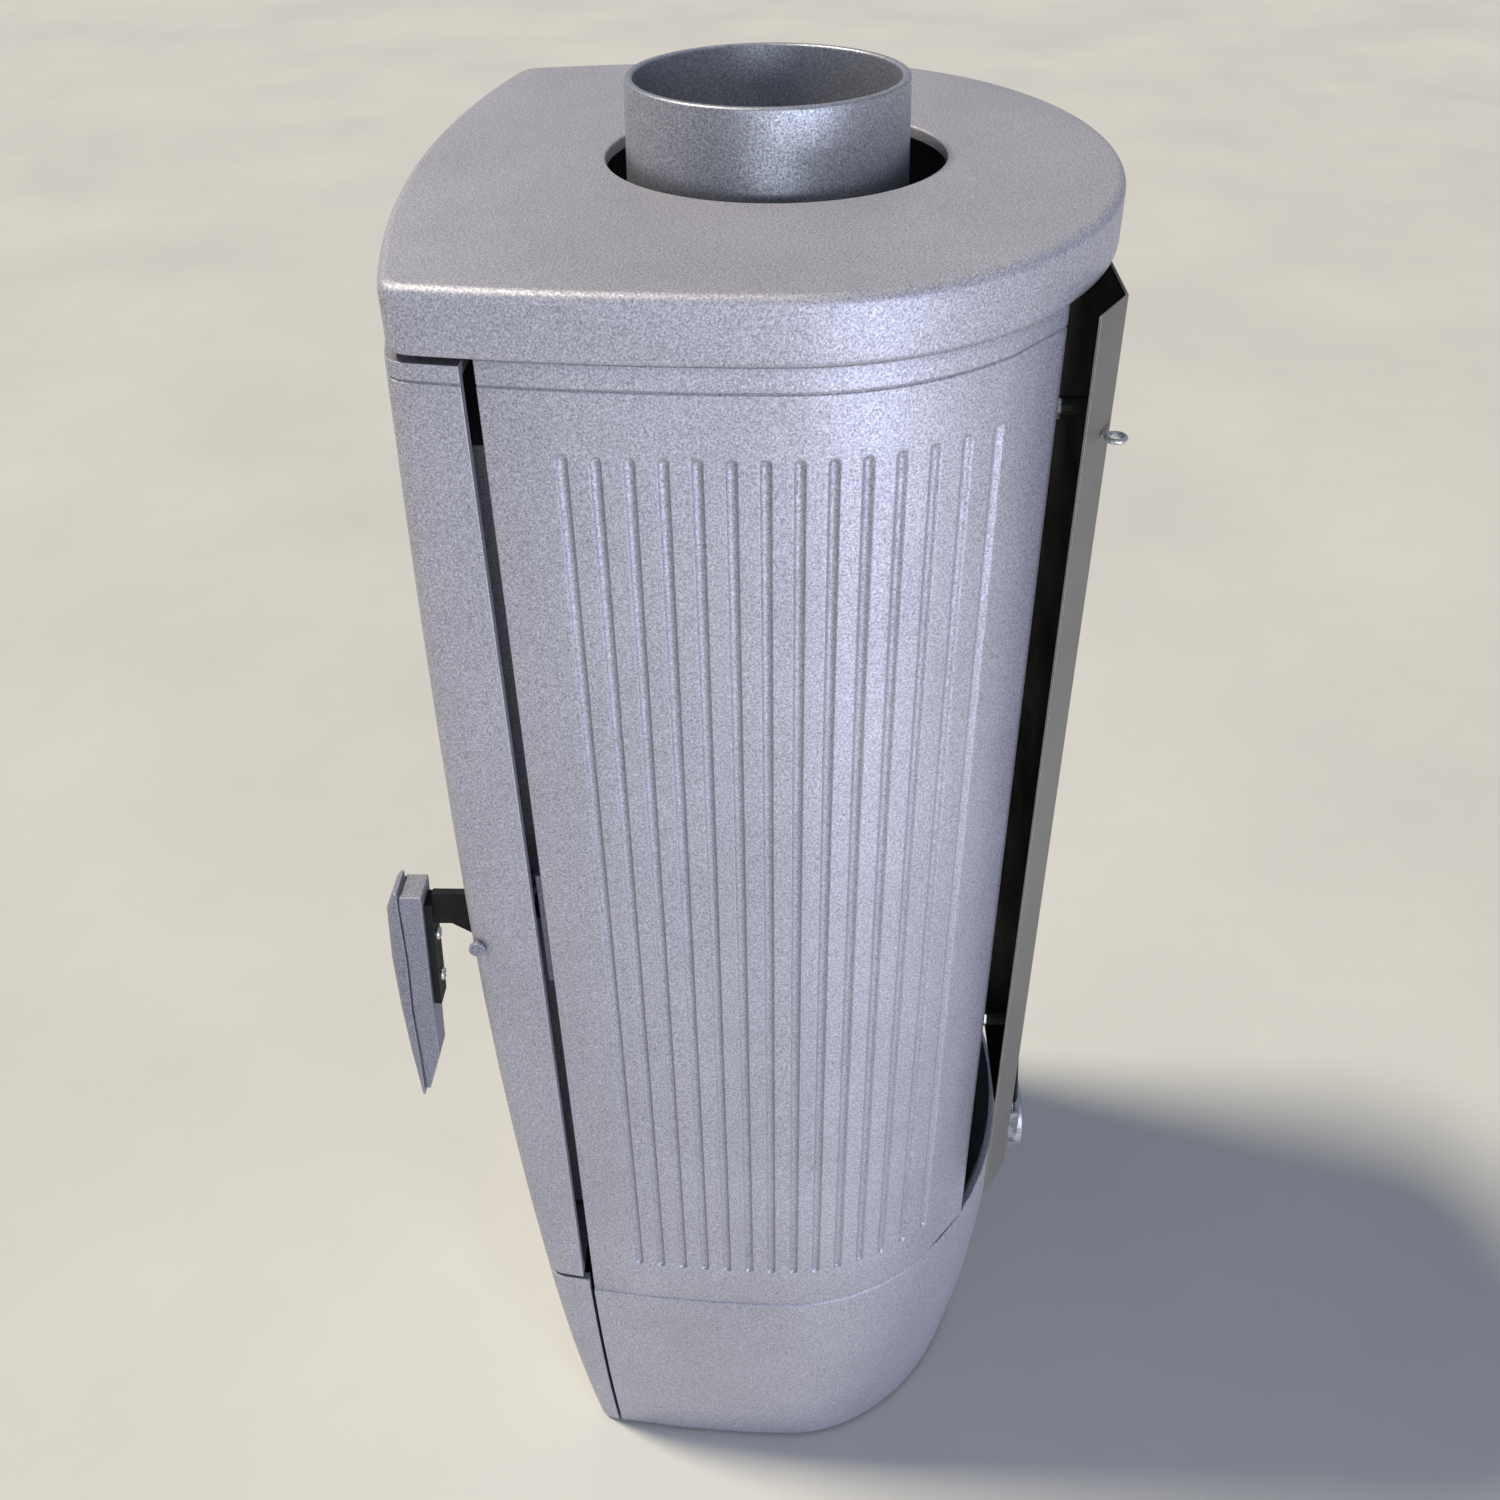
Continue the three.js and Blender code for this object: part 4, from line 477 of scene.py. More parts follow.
def mesh_piece(name, points, faces, materials, body, sharp_angle=SHARP_ANGLE):
    """A mesh object from points in the part's frame, riding on a body."""
    mesh = bpy.data.meshes.new(name)
    mesh.from_pydata([metres(*point) for point in points], [], faces)
    mesh.validate()
    for material in materials:
        mesh.materials.append(material)
    mesh.shade_smooth()
    mesh.set_sharp_from_angle(angle=math.radians(sharp_angle))
    piece = bpy.data.objects.new(name, mesh)
    bpy.context.scene.collection.objects.link(piece)
    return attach(piece, body)


def all_points(rows):
    return [point for row in rows for point in row]


def grid_faces(row_count, row_length, closed_rows=False, closed_columns=False, first=0):
    """Four-sided faces over rows of equally many points."""
    faces = []
    for row in range(row_count if closed_columns else row_count - 1):
        above = (row + 1) % row_count
        for place in range(row_length if closed_rows else row_length - 1):
            after = (place + 1) % row_length
            faces.append((
                first + row * row_length + place,
                first + row * row_length + after,
                first + above * row_length + after,
                first + above * row_length + place,
            ))
    return faces


def bar_faces(row_count, row_length, first=0):
    """Faces of a closed bar: its rows joined, with a flat face over the first and last row."""
    last = first + (row_count - 1) * row_length
    faces = grid_faces(row_count, row_length, closed_rows=True, first=first)
    faces.append(tuple(first + place for place in reversed(range(row_length))))
    faces.append(tuple(last + place for place in range(row_length)))
    return faces


def turned_over(faces):
    return [tuple(reversed(face)) for face in faces]


def border_places(row_count, row_length):
    """The border points of a grid, once round, as places in its list of points."""
    border = list(range(row_length))
    border += [row * row_length + row_length - 1 for row in range(1, row_count)]
    border += [(row_count - 1) * row_length + place for place in range(row_length - 2, -1, -1)]
    border += [row * row_length for row in range(row_count - 2, 0, -1)]
    return border


def quarter(radius):
    """Insets and drops of a rounded edge, from its flat top round to its upright side."""
    turns = steps_between(0, math.pi / 2, EDGE_STEPS)
    return [(radius * (1 - math.sin(turn)), radius * (1 - math.cos(turn))) for turn in turns]


def rounded_path(corners, radius, steps):
    """An open row through corners, with each inner corner turned on a curve."""
    points = [corners[0]]
    for before, corner, after in zip(corners, corners[1:], corners[2:]):
        here = Vector(corner)
        back = (Vector(before) - here).normalized()
        ahead = (Vector(after) - here).normalized()
        half_turn = back.angle(ahead) / 2
        start = here + back * radius / math.tan(half_turn)
        end = here + ahead * radius / math.tan(half_turn)
        points += [curve_point(start, here, end, step / steps) for step in range(steps + 1)]
    return points + [corners[-1]]


def round_edges(piece, radius, least_angle):
    """Really rounds the edges that turn by more than an angle."""
    bevel = piece.modifiers.new("edges", "BEVEL")
    bevel.width = radius * METRE
    bevel.segments = EDGE_SEGMENTS
    bevel.limit_method = "ANGLE"
    bevel.angle_limit = math.radians(least_angle)
    bevel.harden_normals = True


# Materials

class Nodes:
    """Short names for making and joining the nodes of one material."""

    # Places of the mix node's colour sockets
    MIX_SHARE, MIX_FIRST, MIX_SECOND, MIX_RESULT = 0, 6, 7, 2

    def __init__(self, name):
        self.material = bpy.data.materials.new(name)
        self.material.use_nodes = True
        self.tree = self.material.node_tree
        self.shader = self.tree.nodes["Principled BSDF"]
        self.place = self.add("ShaderNodeTexCoord").outputs["Object"]

    def add(self, kind, **settings):
        node = self.tree.nodes.new(kind)
        for key, value in settings.items():
            setattr(node, key, value)
        return node

    def feed(self, node, socket, value):
        """Gives a socket a number, a colour or another node's output."""
        if isinstance(value, (int, float)):
            node.inputs[socket].default_value = value
        elif isinstance(value, tuple):
            node.inputs[socket].default_value = (*value, 1)
        else:
            self.tree.links.new(value, node.inputs[socket])

    def look(self, socket, value):
        """Feeds the shader itself."""
        self.feed(self.shader, socket, value)

    def noise(self, scale, detail, roughness, place=None):
        node = self.add("ShaderNodeTexNoise")
        self.feed(node, "Vector", place or self.place)
        self.feed(node, "Scale", scale)
        self.feed(node, "Detail", detail)
        self.feed(node, "Roughness", roughness)
        return node.outputs["Fac"]

    def cells(self, scale):
        node = self.add("ShaderNodeTexVoronoi")
        self.feed(node, "Vector", self.place)
        self.feed(node, "Scale", scale)
        return node

    def channel(self, colour, name):
        """One of a colour's three channels, as a number."""
        node = self.add("ShaderNodeSeparateColor")
        self.feed(node, "Color", colour)
        return node.outputs[name]

    def stretched(self, stretch):
        node = self.add("ShaderNodeMapping")
        self.feed(node, "Vector", self.place)
        node.inputs["Scale"].default_value = stretch
        return node.outputs["Vector"]

    def remap(self, value, given, wanted):
        """Turns one range of values into another, and holds the values that lie outside."""
        node = self.add("ShaderNodeMapRange")
        self.feed(node, "Value", value)
        self.feed(node, "From Min", given[0])
        self.feed(node, "From Max", given[1])
        self.feed(node, "To Min", wanted[0])
        self.feed(node, "To Max", wanted[1])
        return node.outputs["Result"]

    def calculate(self, operation, first, second):
        node = self.add("ShaderNodeMath", operation=operation)
        self.feed(node, 0, first)
        self.feed(node, 1, second)
        return node.outputs["Value"]

    def mix(self, share, first, second, blend="MIX"):
        node = self.add("ShaderNodeMix", data_type="RGBA", blend_type=blend)
        self.feed(node, self.MIX_SHARE, share)
        self.feed(node, self.MIX_FIRST, first)
        self.feed(node, self.MIX_SECOND, second)
        return node.outputs[self.MIX_RESULT]

    def shaded(self, colour, shade):
        """A colour made lighter or darker by a factor."""
        node = self.add("ShaderNodeVectorMath", operation="SCALE")
        self.feed(node, "Vector", colour)
        self.feed(node, "Scale", shade)
        return node.outputs["Vector"]

    def rounded(self, radius):
        """The surface's direction, with edges rounded off."""
        bevel = self.add("ShaderNodeBevel", samples=EDGE_RAYS)
        self.feed(bevel, "Radius", radius)
        return bevel.outputs["Normal"]

    def edges(self, reach):
        """Nearly 1 along edges and in corners, and 0 on open faces."""
        turn = self.add("ShaderNodeVectorMath", operation="DOT_PRODUCT")
        self.feed(turn, 0, self.rounded(reach))
        self.feed(turn, 1, self.add("ShaderNodeNewGeometry").outputs["Normal"])
        return self.remap(turn.outputs["Value"], *EDGE_TURNED)

    def painted_hollow_shade(self, reach, strength):
        """Painted shade from ambient occlusion: 1 on open faces, and less by up to a strength in
        grooves and seams.
        """
        around = self.add("ShaderNodeAmbientOcclusion", samples=HOLLOW_SHADE_RAYS)
        self.feed(around, "Distance", reach)
        return self.remap(around.outputs["AO"], OPEN_AIR, (1 - strength, 1))

    def bumps(self, *layers, edge_radius=0):
        """Surface relief from layers of height, depth in metres and strength."""
        normal = self.rounded(edge_radius) if edge_radius else None
        for height, depth, strength in layers:
            bump = self.add("ShaderNodeBump")
            self.feed(bump, "Height", height)
            self.feed(bump, "Distance", depth)
            self.feed(bump, "Strength", strength)
            if normal:
                self.feed(bump, "Normal", normal)
            normal = bump.outputs["Normal"]
        self.look("Normal", normal)


def paint(name, tones, metallic=PAINT_METALLIC, roughness=PAINT_ROUGHNESS):
    """Sprayed metallic stove paint over sand-cast iron: grainy, mottled, with painted shade in
    grooves and seams, and paler along edges as rubbed wear and a painted edge highlight.
    """
    dark, light, rubbed_and_highlight = tones
    nodes = Nodes(name)
    grain = nodes.noise(*PAINT_GRAIN)
    flakes = nodes.channel(nodes.cells(PAINT_FLAKE_SCALE).outputs["Color"], "Red")
    patches = nodes.noise(*PAINT_PATCHES)
    casting = nodes.noise(*CASTING)
    ground = nodes.mix(nodes.remap(grain, *PAINT_GROUND), dark, light)
    speckled = nodes.mix(PAINT_FLAKES, ground, flakes, "OVERLAY")
    # Painted shade: ambient occlusion darkens the colour in grooves and seams
    painted_hollow_shade = nodes.painted_hollow_shade(HOLLOW_SHADE_REACH, PAINT_HOLLOW_SHADE)
    shade = nodes.calculate("MULTIPLY", nodes.remap(patches, *PAINT_SHADES), painted_hollow_shade)
    # Paler edges, partly rubbed wear and partly a painted edge highlight
    uneven = nodes.remap(casting, *PAINT_WEAR_AND_HIGHLIGHT)
    wear_and_highlight = nodes.calculate("MULTIPLY", nodes.edges(PAINT_RUBBED_HIGHLIGHT_REACH), uneven)
    nodes.look("Base Color", nodes.mix(wear_and_highlight, nodes.shaded(speckled, shade), rubbed_and_highlight))
    nodes.look("Metallic", metallic)
    polish = nodes.calculate("MULTIPLY", wear_and_highlight, PAINT_POLISH)
    rough = nodes.remap(grain, NOISE_RANGE, roughness)
    nodes.look("Roughness", nodes.calculate("SUBTRACT", rough, polish))
    nodes.bumps((grain, *PAINT_GRAIN_RELIEF), (casting, *CASTING_RELIEF), edge_radius=PAINT_EDGE)
    return nodes.material


def dark_metal(name, tones, metallic, roughness):
    """Enamel or bare dark iron, with fine pitting and paler edges, which are rubbed wear and a
    painted edge highlight.
    """
    dark, light = tones
    nodes = Nodes(name)
    grain = nodes.noise(*IRON_GRAIN)
    patches = nodes.noise(*IRON_PATCHES)
    ground = nodes.mix(nodes.remap(patches, *IRON_GROUND), dark, light)
    # Paler edges, partly rubbed wear and partly a painted edge highlight
    uneven = nodes.remap(grain, *IRON_WEAR_AND_HIGHLIGHT)
    wear_and_highlight = nodes.calculate("MULTIPLY", nodes.edges(IRON_RUBBED_HIGHLIGHT_REACH), uneven)
    rubbed_and_highlight = tuple(min(channel * RUBBED_HIGHLIGHT_FACTOR + RUBBED_HIGHLIGHT_EXTRA, 1) for channel in light)
    nodes.look("Base Color", nodes.mix(wear_and_highlight, ground, rubbed_and_highlight))
    nodes.look("Metallic", metallic)
    nodes.look("Specular IOR Level", IRON_SPECULAR)
    nodes.look("Roughness", nodes.remap(patches, NOISE_RANGE, roughness))
    nodes.bumps((grain, *IRON_GRAIN_RELIEF), edge_radius=IRON_EDGE)
    return nodes.material


def zinc(name, tones, crystal_scale, roughness):
    """Galvanised or plated steel: crystals of slightly different greys, and fine scratches."""
    dark, light = tones
    nodes = Nodes(name)
    crystals = nodes.channel(nodes.cells(crystal_scale).outputs["Color"], "Red")
    scratches = nodes.noise(*SCRATCHES, place=nodes.stretched(SCRATCH_STRETCH))
    share = nodes.calculate("ADD", crystals, nodes.remap(scratches, *ZINC_SCRATCHED))
    nodes.look("Base Color", nodes.mix(share, dark, light))
    nodes.look("Metallic", ZINC_METALLIC)
    nodes.look("Roughness", nodes.remap(crystals, WHOLE, roughness))
    nodes.bumps((scratches, *SCRATCH_RELIEF), edge_radius=ZINC_EDGE)
    return nodes.material


def ceramic_glass():
    """Heat-proof glass with a faint warm tint and a thin uneven haze."""
    nodes = Nodes("ceramic_glass_look")
    haze = nodes.noise(*GLASS_HAZE)
    nodes.look("Base Color", nodes.mix(nodes.remap(haze, NOISE_RANGE, WHOLE), *GLASS_TONES))
    nodes.look("Roughness", nodes.remap(haze, NOISE_RANGE, GLASS_ROUGHNESS))
    nodes.look("IOR", GLASS_REFRACTION)
    nodes.look("Transmission Weight", GLASS_CLEARNESS)
    return nodes.material


def fibre():
    """Braided glass fibre: woven threads with a soft dull surface."""
    dark, light = ROPE_TONES
    nodes = Nodes("rope_white_look")
    threads = nodes.noise(*ROPE_THREADS)
    knots = nodes.cells(ROPE_KNOT_SCALE).outputs["Distance"]
    soil = nodes.noise(*ROPE_SOIL)
    woven = nodes.mix(nodes.remap(knots, *ROPE_WOVEN), light, dark)
    nodes.look("Base Color", nodes.mix(nodes.remap(soil, *ROPE_SOILED), woven, dark))
    nodes.look("Roughness", nodes.remap(threads, NOISE_RANGE, ROPE_ROUGHNESS))
    nodes.look("Sheen Weight", ROPE_SHEEN)
    nodes.bumps((threads, *ROPE_THREAD_RELIEF), (knots, *ROPE_KNOT_RELIEF))
    return nodes.material


def clay():
    """Pressed fire-clay board: pale flakes of several tones in a rough surface, with soot."""
    nodes = Nodes("liner_clay_look")
    flakes = nodes.channel(nodes.cells(CLAY_FLAKE_SCALE).outputs["Color"], "Green")
    grain = nodes.noise(*CLAY_GRAIN)
    soot = nodes.noise(*CLAY_SOOT)
    sooted = nodes.remap(soot, *CLAY_SOOTED)
    nodes.look("Base Color", nodes.mix(sooted, nodes.mix(flakes, *CLAY_TONES), SOOT_TONE))
    nodes.look("Roughness", nodes.remap(grain, NOISE_RANGE, CLAY_ROUGHNESS))
    nodes.bumps((grain, *CLAY_GRAIN_RELIEF), edge_radius=CLAY_EDGE)
    return nodes.material


def floor_finish():
    nodes = Nodes("floor_pale")
    cloud = nodes.noise(*FLOOR_CLOUD)
    nodes.look("Base Color", nodes.mix(nodes.remap(cloud, NOISE_RANGE, WHOLE), *FLOOR_TONES))
    nodes.look("Roughness", nodes.remap(cloud, NOISE_RANGE, FLOOR_ROUGHNESS))
    return nodes.material


def make_finishes():
    """Finishes by slot, and by node where a node doesn't wear its slot's finish."""
    grip_paint = paint("grip_paint_look", GRIP_TONES)
    black = dark_metal("black_paint_look", BLACK_TONES, BLACK_METALLIC, BLACK_ROUGHNESS)
    iron = dark_metal("dark_iron_look", IRON_TONES, IRON_METALLIC, IRON_ROUGHNESS)
    shield = dark_metal("shield_grey_look", SHIELD_TONES, SHIELD_METALLIC, SHIELD_ROUGHNESS)
    steel = zinc("pale_steel_look", STEEL_TONES, STEEL_CRYSTAL_SCALE, STEEL_ROUGHNESS)
    galvanised = zinc("galvanised_look", ZINC_TONES, ZINC_CRYSTAL_SCALE, ZINC_ROUGHNESS)
    return {
        "grey_paint": paint("grey_paint_look", GREY_TONES),
        "black_paint": black,
        "dark_iron": iron,
        "pale_steel": steel,
        "ceramic_glass": ceramic_glass(),
        "rope_white": fibre(),
        "liner_clay": clay(),
        "flue_collar": paint("collar_paint_look", COLLAR_TONES, COLLAR_METALLIC, COLLAR_ROUGHNESS),
        "heat_shield": shield,
        "handle_grip": grip_paint,
        "pivot_pin": grip_paint,
        "latch_keeper": grip_paint,
        "handle_strap": black,
        "shield_eye": steel,
        "air_spigot": galvanised,
        "air_box": galvanised,
        # The spacers wear dark iron, partly as painted shade for the dark gap they stand in
        **{"spacer_" + name: iron for name in SPACER_PLACES},
    }


# Pieces modelled here, most of them in place of a faceted CAD node

def flue_ring(turns, radius, z):
    """Points round the flue hole, one in each direction."""
    return [(radius * math.cos(t), FLUE_HOLE_Y + radius * math.sin(t), z) for t in turns]


def rows_between(outer, inner, count):
    """The rows that lie evenly between two rows of points."""
    return [
        [tuple(between(a, b, step / count) for a, b in zip(p, q)) for p, q in zip(outer, inner)]
        for step in range(1, count)
    ]


def top_plate(material):
    """One closed skin: skirt, rounded edge, flat top, flue hole, underside and cavity."""
    lip = [(inset, PLATE_BOTTOM_Z + drop) for inset, drop in quarter(PLATE_LIP_RADIUS)]
    edge = [(inset, PLATE_TOP_Z - drop) for inset, drop in reversed(quarter(PLATE_EDGE_RADIUS))]
    rows = [[(x, y, z) for x, y in hull_loop(inset)] for inset, z in lip + edge]
    rim = rows[-1]
    turns = [math.atan2(y - FLUE_HOLE_Y, x) for x, y, _ in rim]
    hole_edge = [
        flue_ring(turns, FLUE_HOLE_RADIUS + inset, PLATE_TOP_Z - drop)
        for inset, drop in quarter(FLUE_HOLE_EDGE)
    ]
    ceiling_z = PLATE_TOP_Z - PLATE_WALL
    hole_foot = flue_ring(turns, FLUE_HOLE_RADIUS, ceiling_z)
    cavity = hull_loop(PLATE_WALL)
    ceiling = [(x, y, ceiling_z) for x, y in cavity]
    mouth = [(x, y, PLATE_BOTTOM_Z) for x, y in cavity]
    rows += rows_between(rim, hole_edge[0], PLATE_TOP_STEPS) + hole_edge + [hole_foot]
    rows += rows_between(hole_foot, ceiling, PLATE_CEILING_STEPS) + [ceiling, mouth]
    faces = grid_faces(len(rows), len(rim), closed_rows=True, closed_columns=True)
    plate = mesh_piece("top_plate_casting", all_points(rows), faces, [material], "stove_body")
    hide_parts("top_plate")


def groove_y(place):
    return FIRST_GROOVE_Y + place * GROOVE_PITCH


def groove_places():
    """The surface point of each flute on the right panel."""
    angles = [side_angle_at(groove_y(place), PANEL_INSET) for place in range(GROOVE_COUNT)]
    return [side_point(angle, PANEL_INSET) for angle in angles]


def softened(depth):
    """Keeps positive depths and fades the rest out, with a soft shoulder."""
    return (depth + math.sqrt(depth**2 + GROOVE_SOFTNESS**2)) / 2


def groove_depth(x, y, z, places):
    """How deep the nearest round-ended flute is at a point of the panel's face."""
    across = min(math.dist((x, y), place) for place in places)
    ends = (GROOVE_BOTTOM_Z + GROOVE_RADIUS, GROOVE_TOP_Z - GROOVE_RADIUS)
    past = max(ends[0] - z, z - ends[1], 0)
    away = math.hypot(across, past)
    if away < GROOVE_RADIUS:
        raw = math.sqrt(GROOVE_RADIUS**2 - away**2) - (GROOVE_RADIUS - GROOVE_DEPTH)
    else:
        raw = GROOVE_DEPTH - GROOVE_RADIUS - GROOVE_RUNOUT_SLOPE * (away - GROOVE_RADIUS)
    return softened(raw) if raw > -GROOVE_RUNOUT_DEPTH else 0


def band_depth(z):
    """How deep the fine line under the lid is at a height."""
    return max(0, 1 - abs(z - BAND_Z) / BAND_HALF_HEIGHT) * BAND_DEPTH


def edge_depth(distance):
    """How far a rounded edge falls back at a distance from it."""
    if distance >= PANEL_EDGE:
        return 0
    return PANEL_EDGE - math.sqrt(PANEL_EDGE**2 - (PANEL_EDGE - distance) ** 2)


def panel_columns():
    """Angles along the panel's face, close together across each flute and at the front edge."""
    front = side_angle_at(PANEL_FRONT_Y, PANEL_INSET)
    rear = math.acos(PANEL_REAR_X / (HALF_WIDTH - PANEL_INSET))
    ys = [PANEL_FRONT_Y + share * PANEL_EDGE for share in PANEL_EDGE_SHARES]
    for place in range(GROOVE_COUNT):
        ys += [groove_y(place) + share * GROOVE_RADIUS for share in GROOVE_COLUMN_SHARES]
    angles = [side_angle_at(y, PANEL_INSET) for y in ys]
    return sorted(angle for angle in angles if front <= angle < rear) + [rear]


def panel_rows():
    """Heights of the panel's rows, close together at the flutes' ends and the fine line."""
    heights = [PANEL_BOTTOM_Z + share * PANEL_EDGE for share in PANEL_EDGE_SHARES]
    heights += [PANEL_TOP_Z - share * PANEL_EDGE for share in PANEL_EDGE_SHARES]
    heights += [GROOVE_BOTTOM_Z + share * GROOVE_RADIUS for share in GROOVE_END_SHARES]
    heights += [GROOVE_TOP_Z - share * GROOVE_RADIUS for share in GROOVE_END_SHARES]
    heights += [BAND_Z + share * BAND_HALF_HEIGHT for share in BAND_ROW_SHARES]
    straight = (GROOVE_BOTTOM_Z + 2 * GROOVE_RADIUS, GROOVE_TOP_Z - 2 * GROOVE_RADIUS)
    heights += steps_between(*straight, FLUTE_STEPS)
    return sorted(heights)


def panel_face_point(angle, z, places):
    """A point of the outer face, sunk by the flutes, the fine line and the rounded edges."""
    x, y = side_point(angle, PANEL_INSET)
    front = side_point(side_angle_at(PANEL_FRONT_Y, PANEL_INSET), PANEL_INSET)
    to_edge = min(z - PANEL_BOTTOM_Z, PANEL_TOP_Z - z, math.dist((x, y), front))
    sunk = groove_depth(x, y, z, places) + band_depth(z) + edge_depth(to_edge)
    normal = side_normal(angle)
    return (x - normal.x * sunk, y - normal.y * sunk, z)


def side_panel(name, mirror, material):
    """Fluted panel with softened flutes, rounded edges and a plain inner face."""
    places = groove_places()
    angles, heights = panel_columns(), panel_rows()
    spots = [(angle, z) for z in heights for angle in angles]
    outer = [panel_face_point(angle, z, places) for angle, z in spots]
    inner = [(*side_point(angle, PANEL_INSET + PANEL_WALL), z) for angle, z in spots]
    points = [(mirror * x, y, z) for x, y, z in outer + inner]
    half = len(outer)
    faces = grid_faces(len(heights), len(angles))
    faces += turned_over(grid_faces(len(heights), len(angles), first=half))
    border = border_places(len(heights), len(angles))
    for spot, after in zip(border, border[1:] + border[:1]):
        faces.append((after, spot, spot + half, after + half))
    if mirror < 0:
        faces = turned_over(faces)
    panel = mesh_piece(
        name + "_casting", points, faces, [material], "stove_body", PANEL_SHARP_ANGLE
    )
    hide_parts(name)


def flue_collar(material):
    """Cast ring with softly rounded rim edges, on its flange."""
    rim = [
        (COLLAR_RIM_RADIUS - inset, COLLAR_TOP_Z - drop)
        for inset, drop in reversed(quarter(COLLAR_RIM_EDGE))
    ]
    mouth = [(COLLAR_BORE + inset, COLLAR_TOP_Z - drop) for inset, drop in quarter(COLLAR_RIM_EDGE)]
    flange_top = COLLAR_FOOT_Z + COLLAR_FLANGE_HEIGHT
    profile = [
        (COLLAR_BORE, COLLAR_FOOT_Z),
        (COLLAR_FLANGE_RADIUS, COLLAR_FOOT_Z),
        (COLLAR_FLANGE_RADIUS, flange_top),
        (COLLAR_FOOT_RADIUS, flange_top),
        *rim,
        *mouth,
    ]
    points = [
        (r * math.cos(t), COLLAR_Y + r * math.sin(t), z)
        for r, z in profile
        for t in turns_round(TURNED_STEPS)
    ]
    faces = grid_faces(len(profile), TURNED_STEPS, closed_rows=True, closed_columns=True)
    collar = mesh_piece("flue_collar_casting", points, faces, [material], "stove_body")
    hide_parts("flue_collar")


def with_mirrored(tip, bend):
    """A path through two corners and on through their mirror images."""
    return [tip, bend, (-bend[0], bend[1]), (-tip[0], tip[1])]


def shield_lines():
    """The folded sheet's outer and inner line, seen from above."""
    tip = (SHIELD_HALF_WIDTH + SHIELD_WING_X, SHIELD_BACK_Y - SHIELD_WING_Y)
    bend = (SHIELD_HALF_WIDTH, SHIELD_BACK_Y)
    wing = (Vector(tip) - Vector(bend)).normalized()
    inward = Vector((wing.y, -wing.x))
    mitre = SHIELD_WALL * math.tan(wing.angle(Vector((1, 0))) / 2)
    inner_tip = tuple(Vector(tip) + inward * SHIELD_WALL)
    inner_bend = (bend[0] - mitre, bend[1] - SHIELD_WALL)
    outer = rounded_path(with_mirrored(tip, bend), SHIELD_BEND, SHIELD_BEND_STEPS)
    inner_radius = SHIELD_BEND - SHIELD_WALL
    inner = rounded_path(with_mirrored(inner_tip, inner_bend), inner_radius, SHIELD_BEND_STEPS)
    return outer, inner


def heat_shield(outer_material, inner_black_and_painted_shade):
    """Folded sheet with rounded bends, grey outside and black towards the stove, where the black
    partly paints in the shade inside the fold.
    """
    outer, inner = shield_lines()
    loop = outer + list(reversed(inner))
    heights = steps_between(SHIELD_BOTTOM_Z, SHIELD_TOP_Z, SHIELD_STEPS)
    points = [(x, y, z) for z in heights for x, y in loop]
    faces = grid_faces(len(heights), len(loop), closed_rows=True)
    size = len(loop)
    last = (len(heights) - 1) * size
    for place in range(len(outer) - 1):
        facing = size - 1 - place
        faces.append((place + 1, place, facing, facing - 1))
        faces.append((last + place, last + place + 1, last + facing - 1, last + facing))
    materials = [outer_material, inner_black_and_painted_shade]
    shield = mesh_piece("heat_shield_sheet", points, faces, materials, "stove_body")
    # The faces towards the stove take the black, which partly stands in as painted shade inside the
    # fold
    for face in shield.data.polygons:
        if min(vertex % size for vertex in face.vertices) >= len(outer):
            face.material_index = 1
    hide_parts("heat_shield")


def rope_path():
    """The rope's middle line: a rectangle with rounded corners, in even steps."""
    reach, low, high = ROPE_HALF_WIDTH, ROPE_BOTTOM_Z, ROPE_TOP_Z
    corners = [(0, low), (reach, low), (reach, high), (-reach, high), (-reach, low), (0, low)]
    rough = rounded_path(corners, ROPE_CORNER, ROPE_CORNER_STEPS)
    path = []
    for start, end in zip(rough, rough[1:]):
        count = max(1, round(math.dist(start, end) / ROPE_STEP))
        path += [
            tuple(between(a, b, step / count) for a, b in zip(start, end))
            for step in range(count)
        ]
    return path


def door_rope(material):
    """A twisted soft rope, laid round its channel in the door."""
    path = rope_path()
    points = []
    run = 0
    for place, (x, z) in enumerate(path):
        before, after = path[place - 1], path[(place + 1) % len(path)]
        along = Vector((after[0] - before[0], after[1] - before[1])).normalized()
        side = Vector((along.y, -along.x))
        twist = 2 * math.pi * run / ROPE_TWIST_LENGTH
        for turn in turns_round(ROPE_ROUND_STEPS):
            strand = abs(math.cos((turn * ROPE_STRANDS + twist) / 2))
            radius = ROPE_RADIUS * between(ROPE_VALLEY_SHARE, 1, strand)
            out = radius * math.cos(turn)
            points.append((x + side.x * out, ROPE_Y + radius * math.sin(turn), z + side.y * out))
        run += math.dist((x, z), after)
    faces = grid_faces(len(path), ROPE_ROUND_STEPS, closed_rows=True, closed_columns=True)
    rope = mesh_piece("door_rope_braid", points, faces, [material], "door", ROPE_SHARP_ANGLE)
    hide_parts("door_rope")


def grip_back_y(z):
    """Where the grip's flat back lies at a height."""
    rear_y = GRIP_FRONT_Y + GRIP_DEPTH
    (upper_y, upper_z), (lower_y, lower_z) = [
        (rear_y - depth * GRIP_DEPTH, between(GRIP_BOTTOM_Z, GRIP_TOP_Z, height))
        for height, depth in (GRIP_BACK_UPPER_SHARES, GRIP_BACK_LOWER_SHARES)
    ]
    return between(lower_y, upper_y, (z - lower_z) / (upper_z - lower_z))


def grip_point(x, depth, height):
    y = GRIP_FRONT_Y + GRIP_DEPTH * (1 - depth)
    return (HANDLE_X + x, y, between(GRIP_BOTTOM_Z, GRIP_TOP_Z, height))


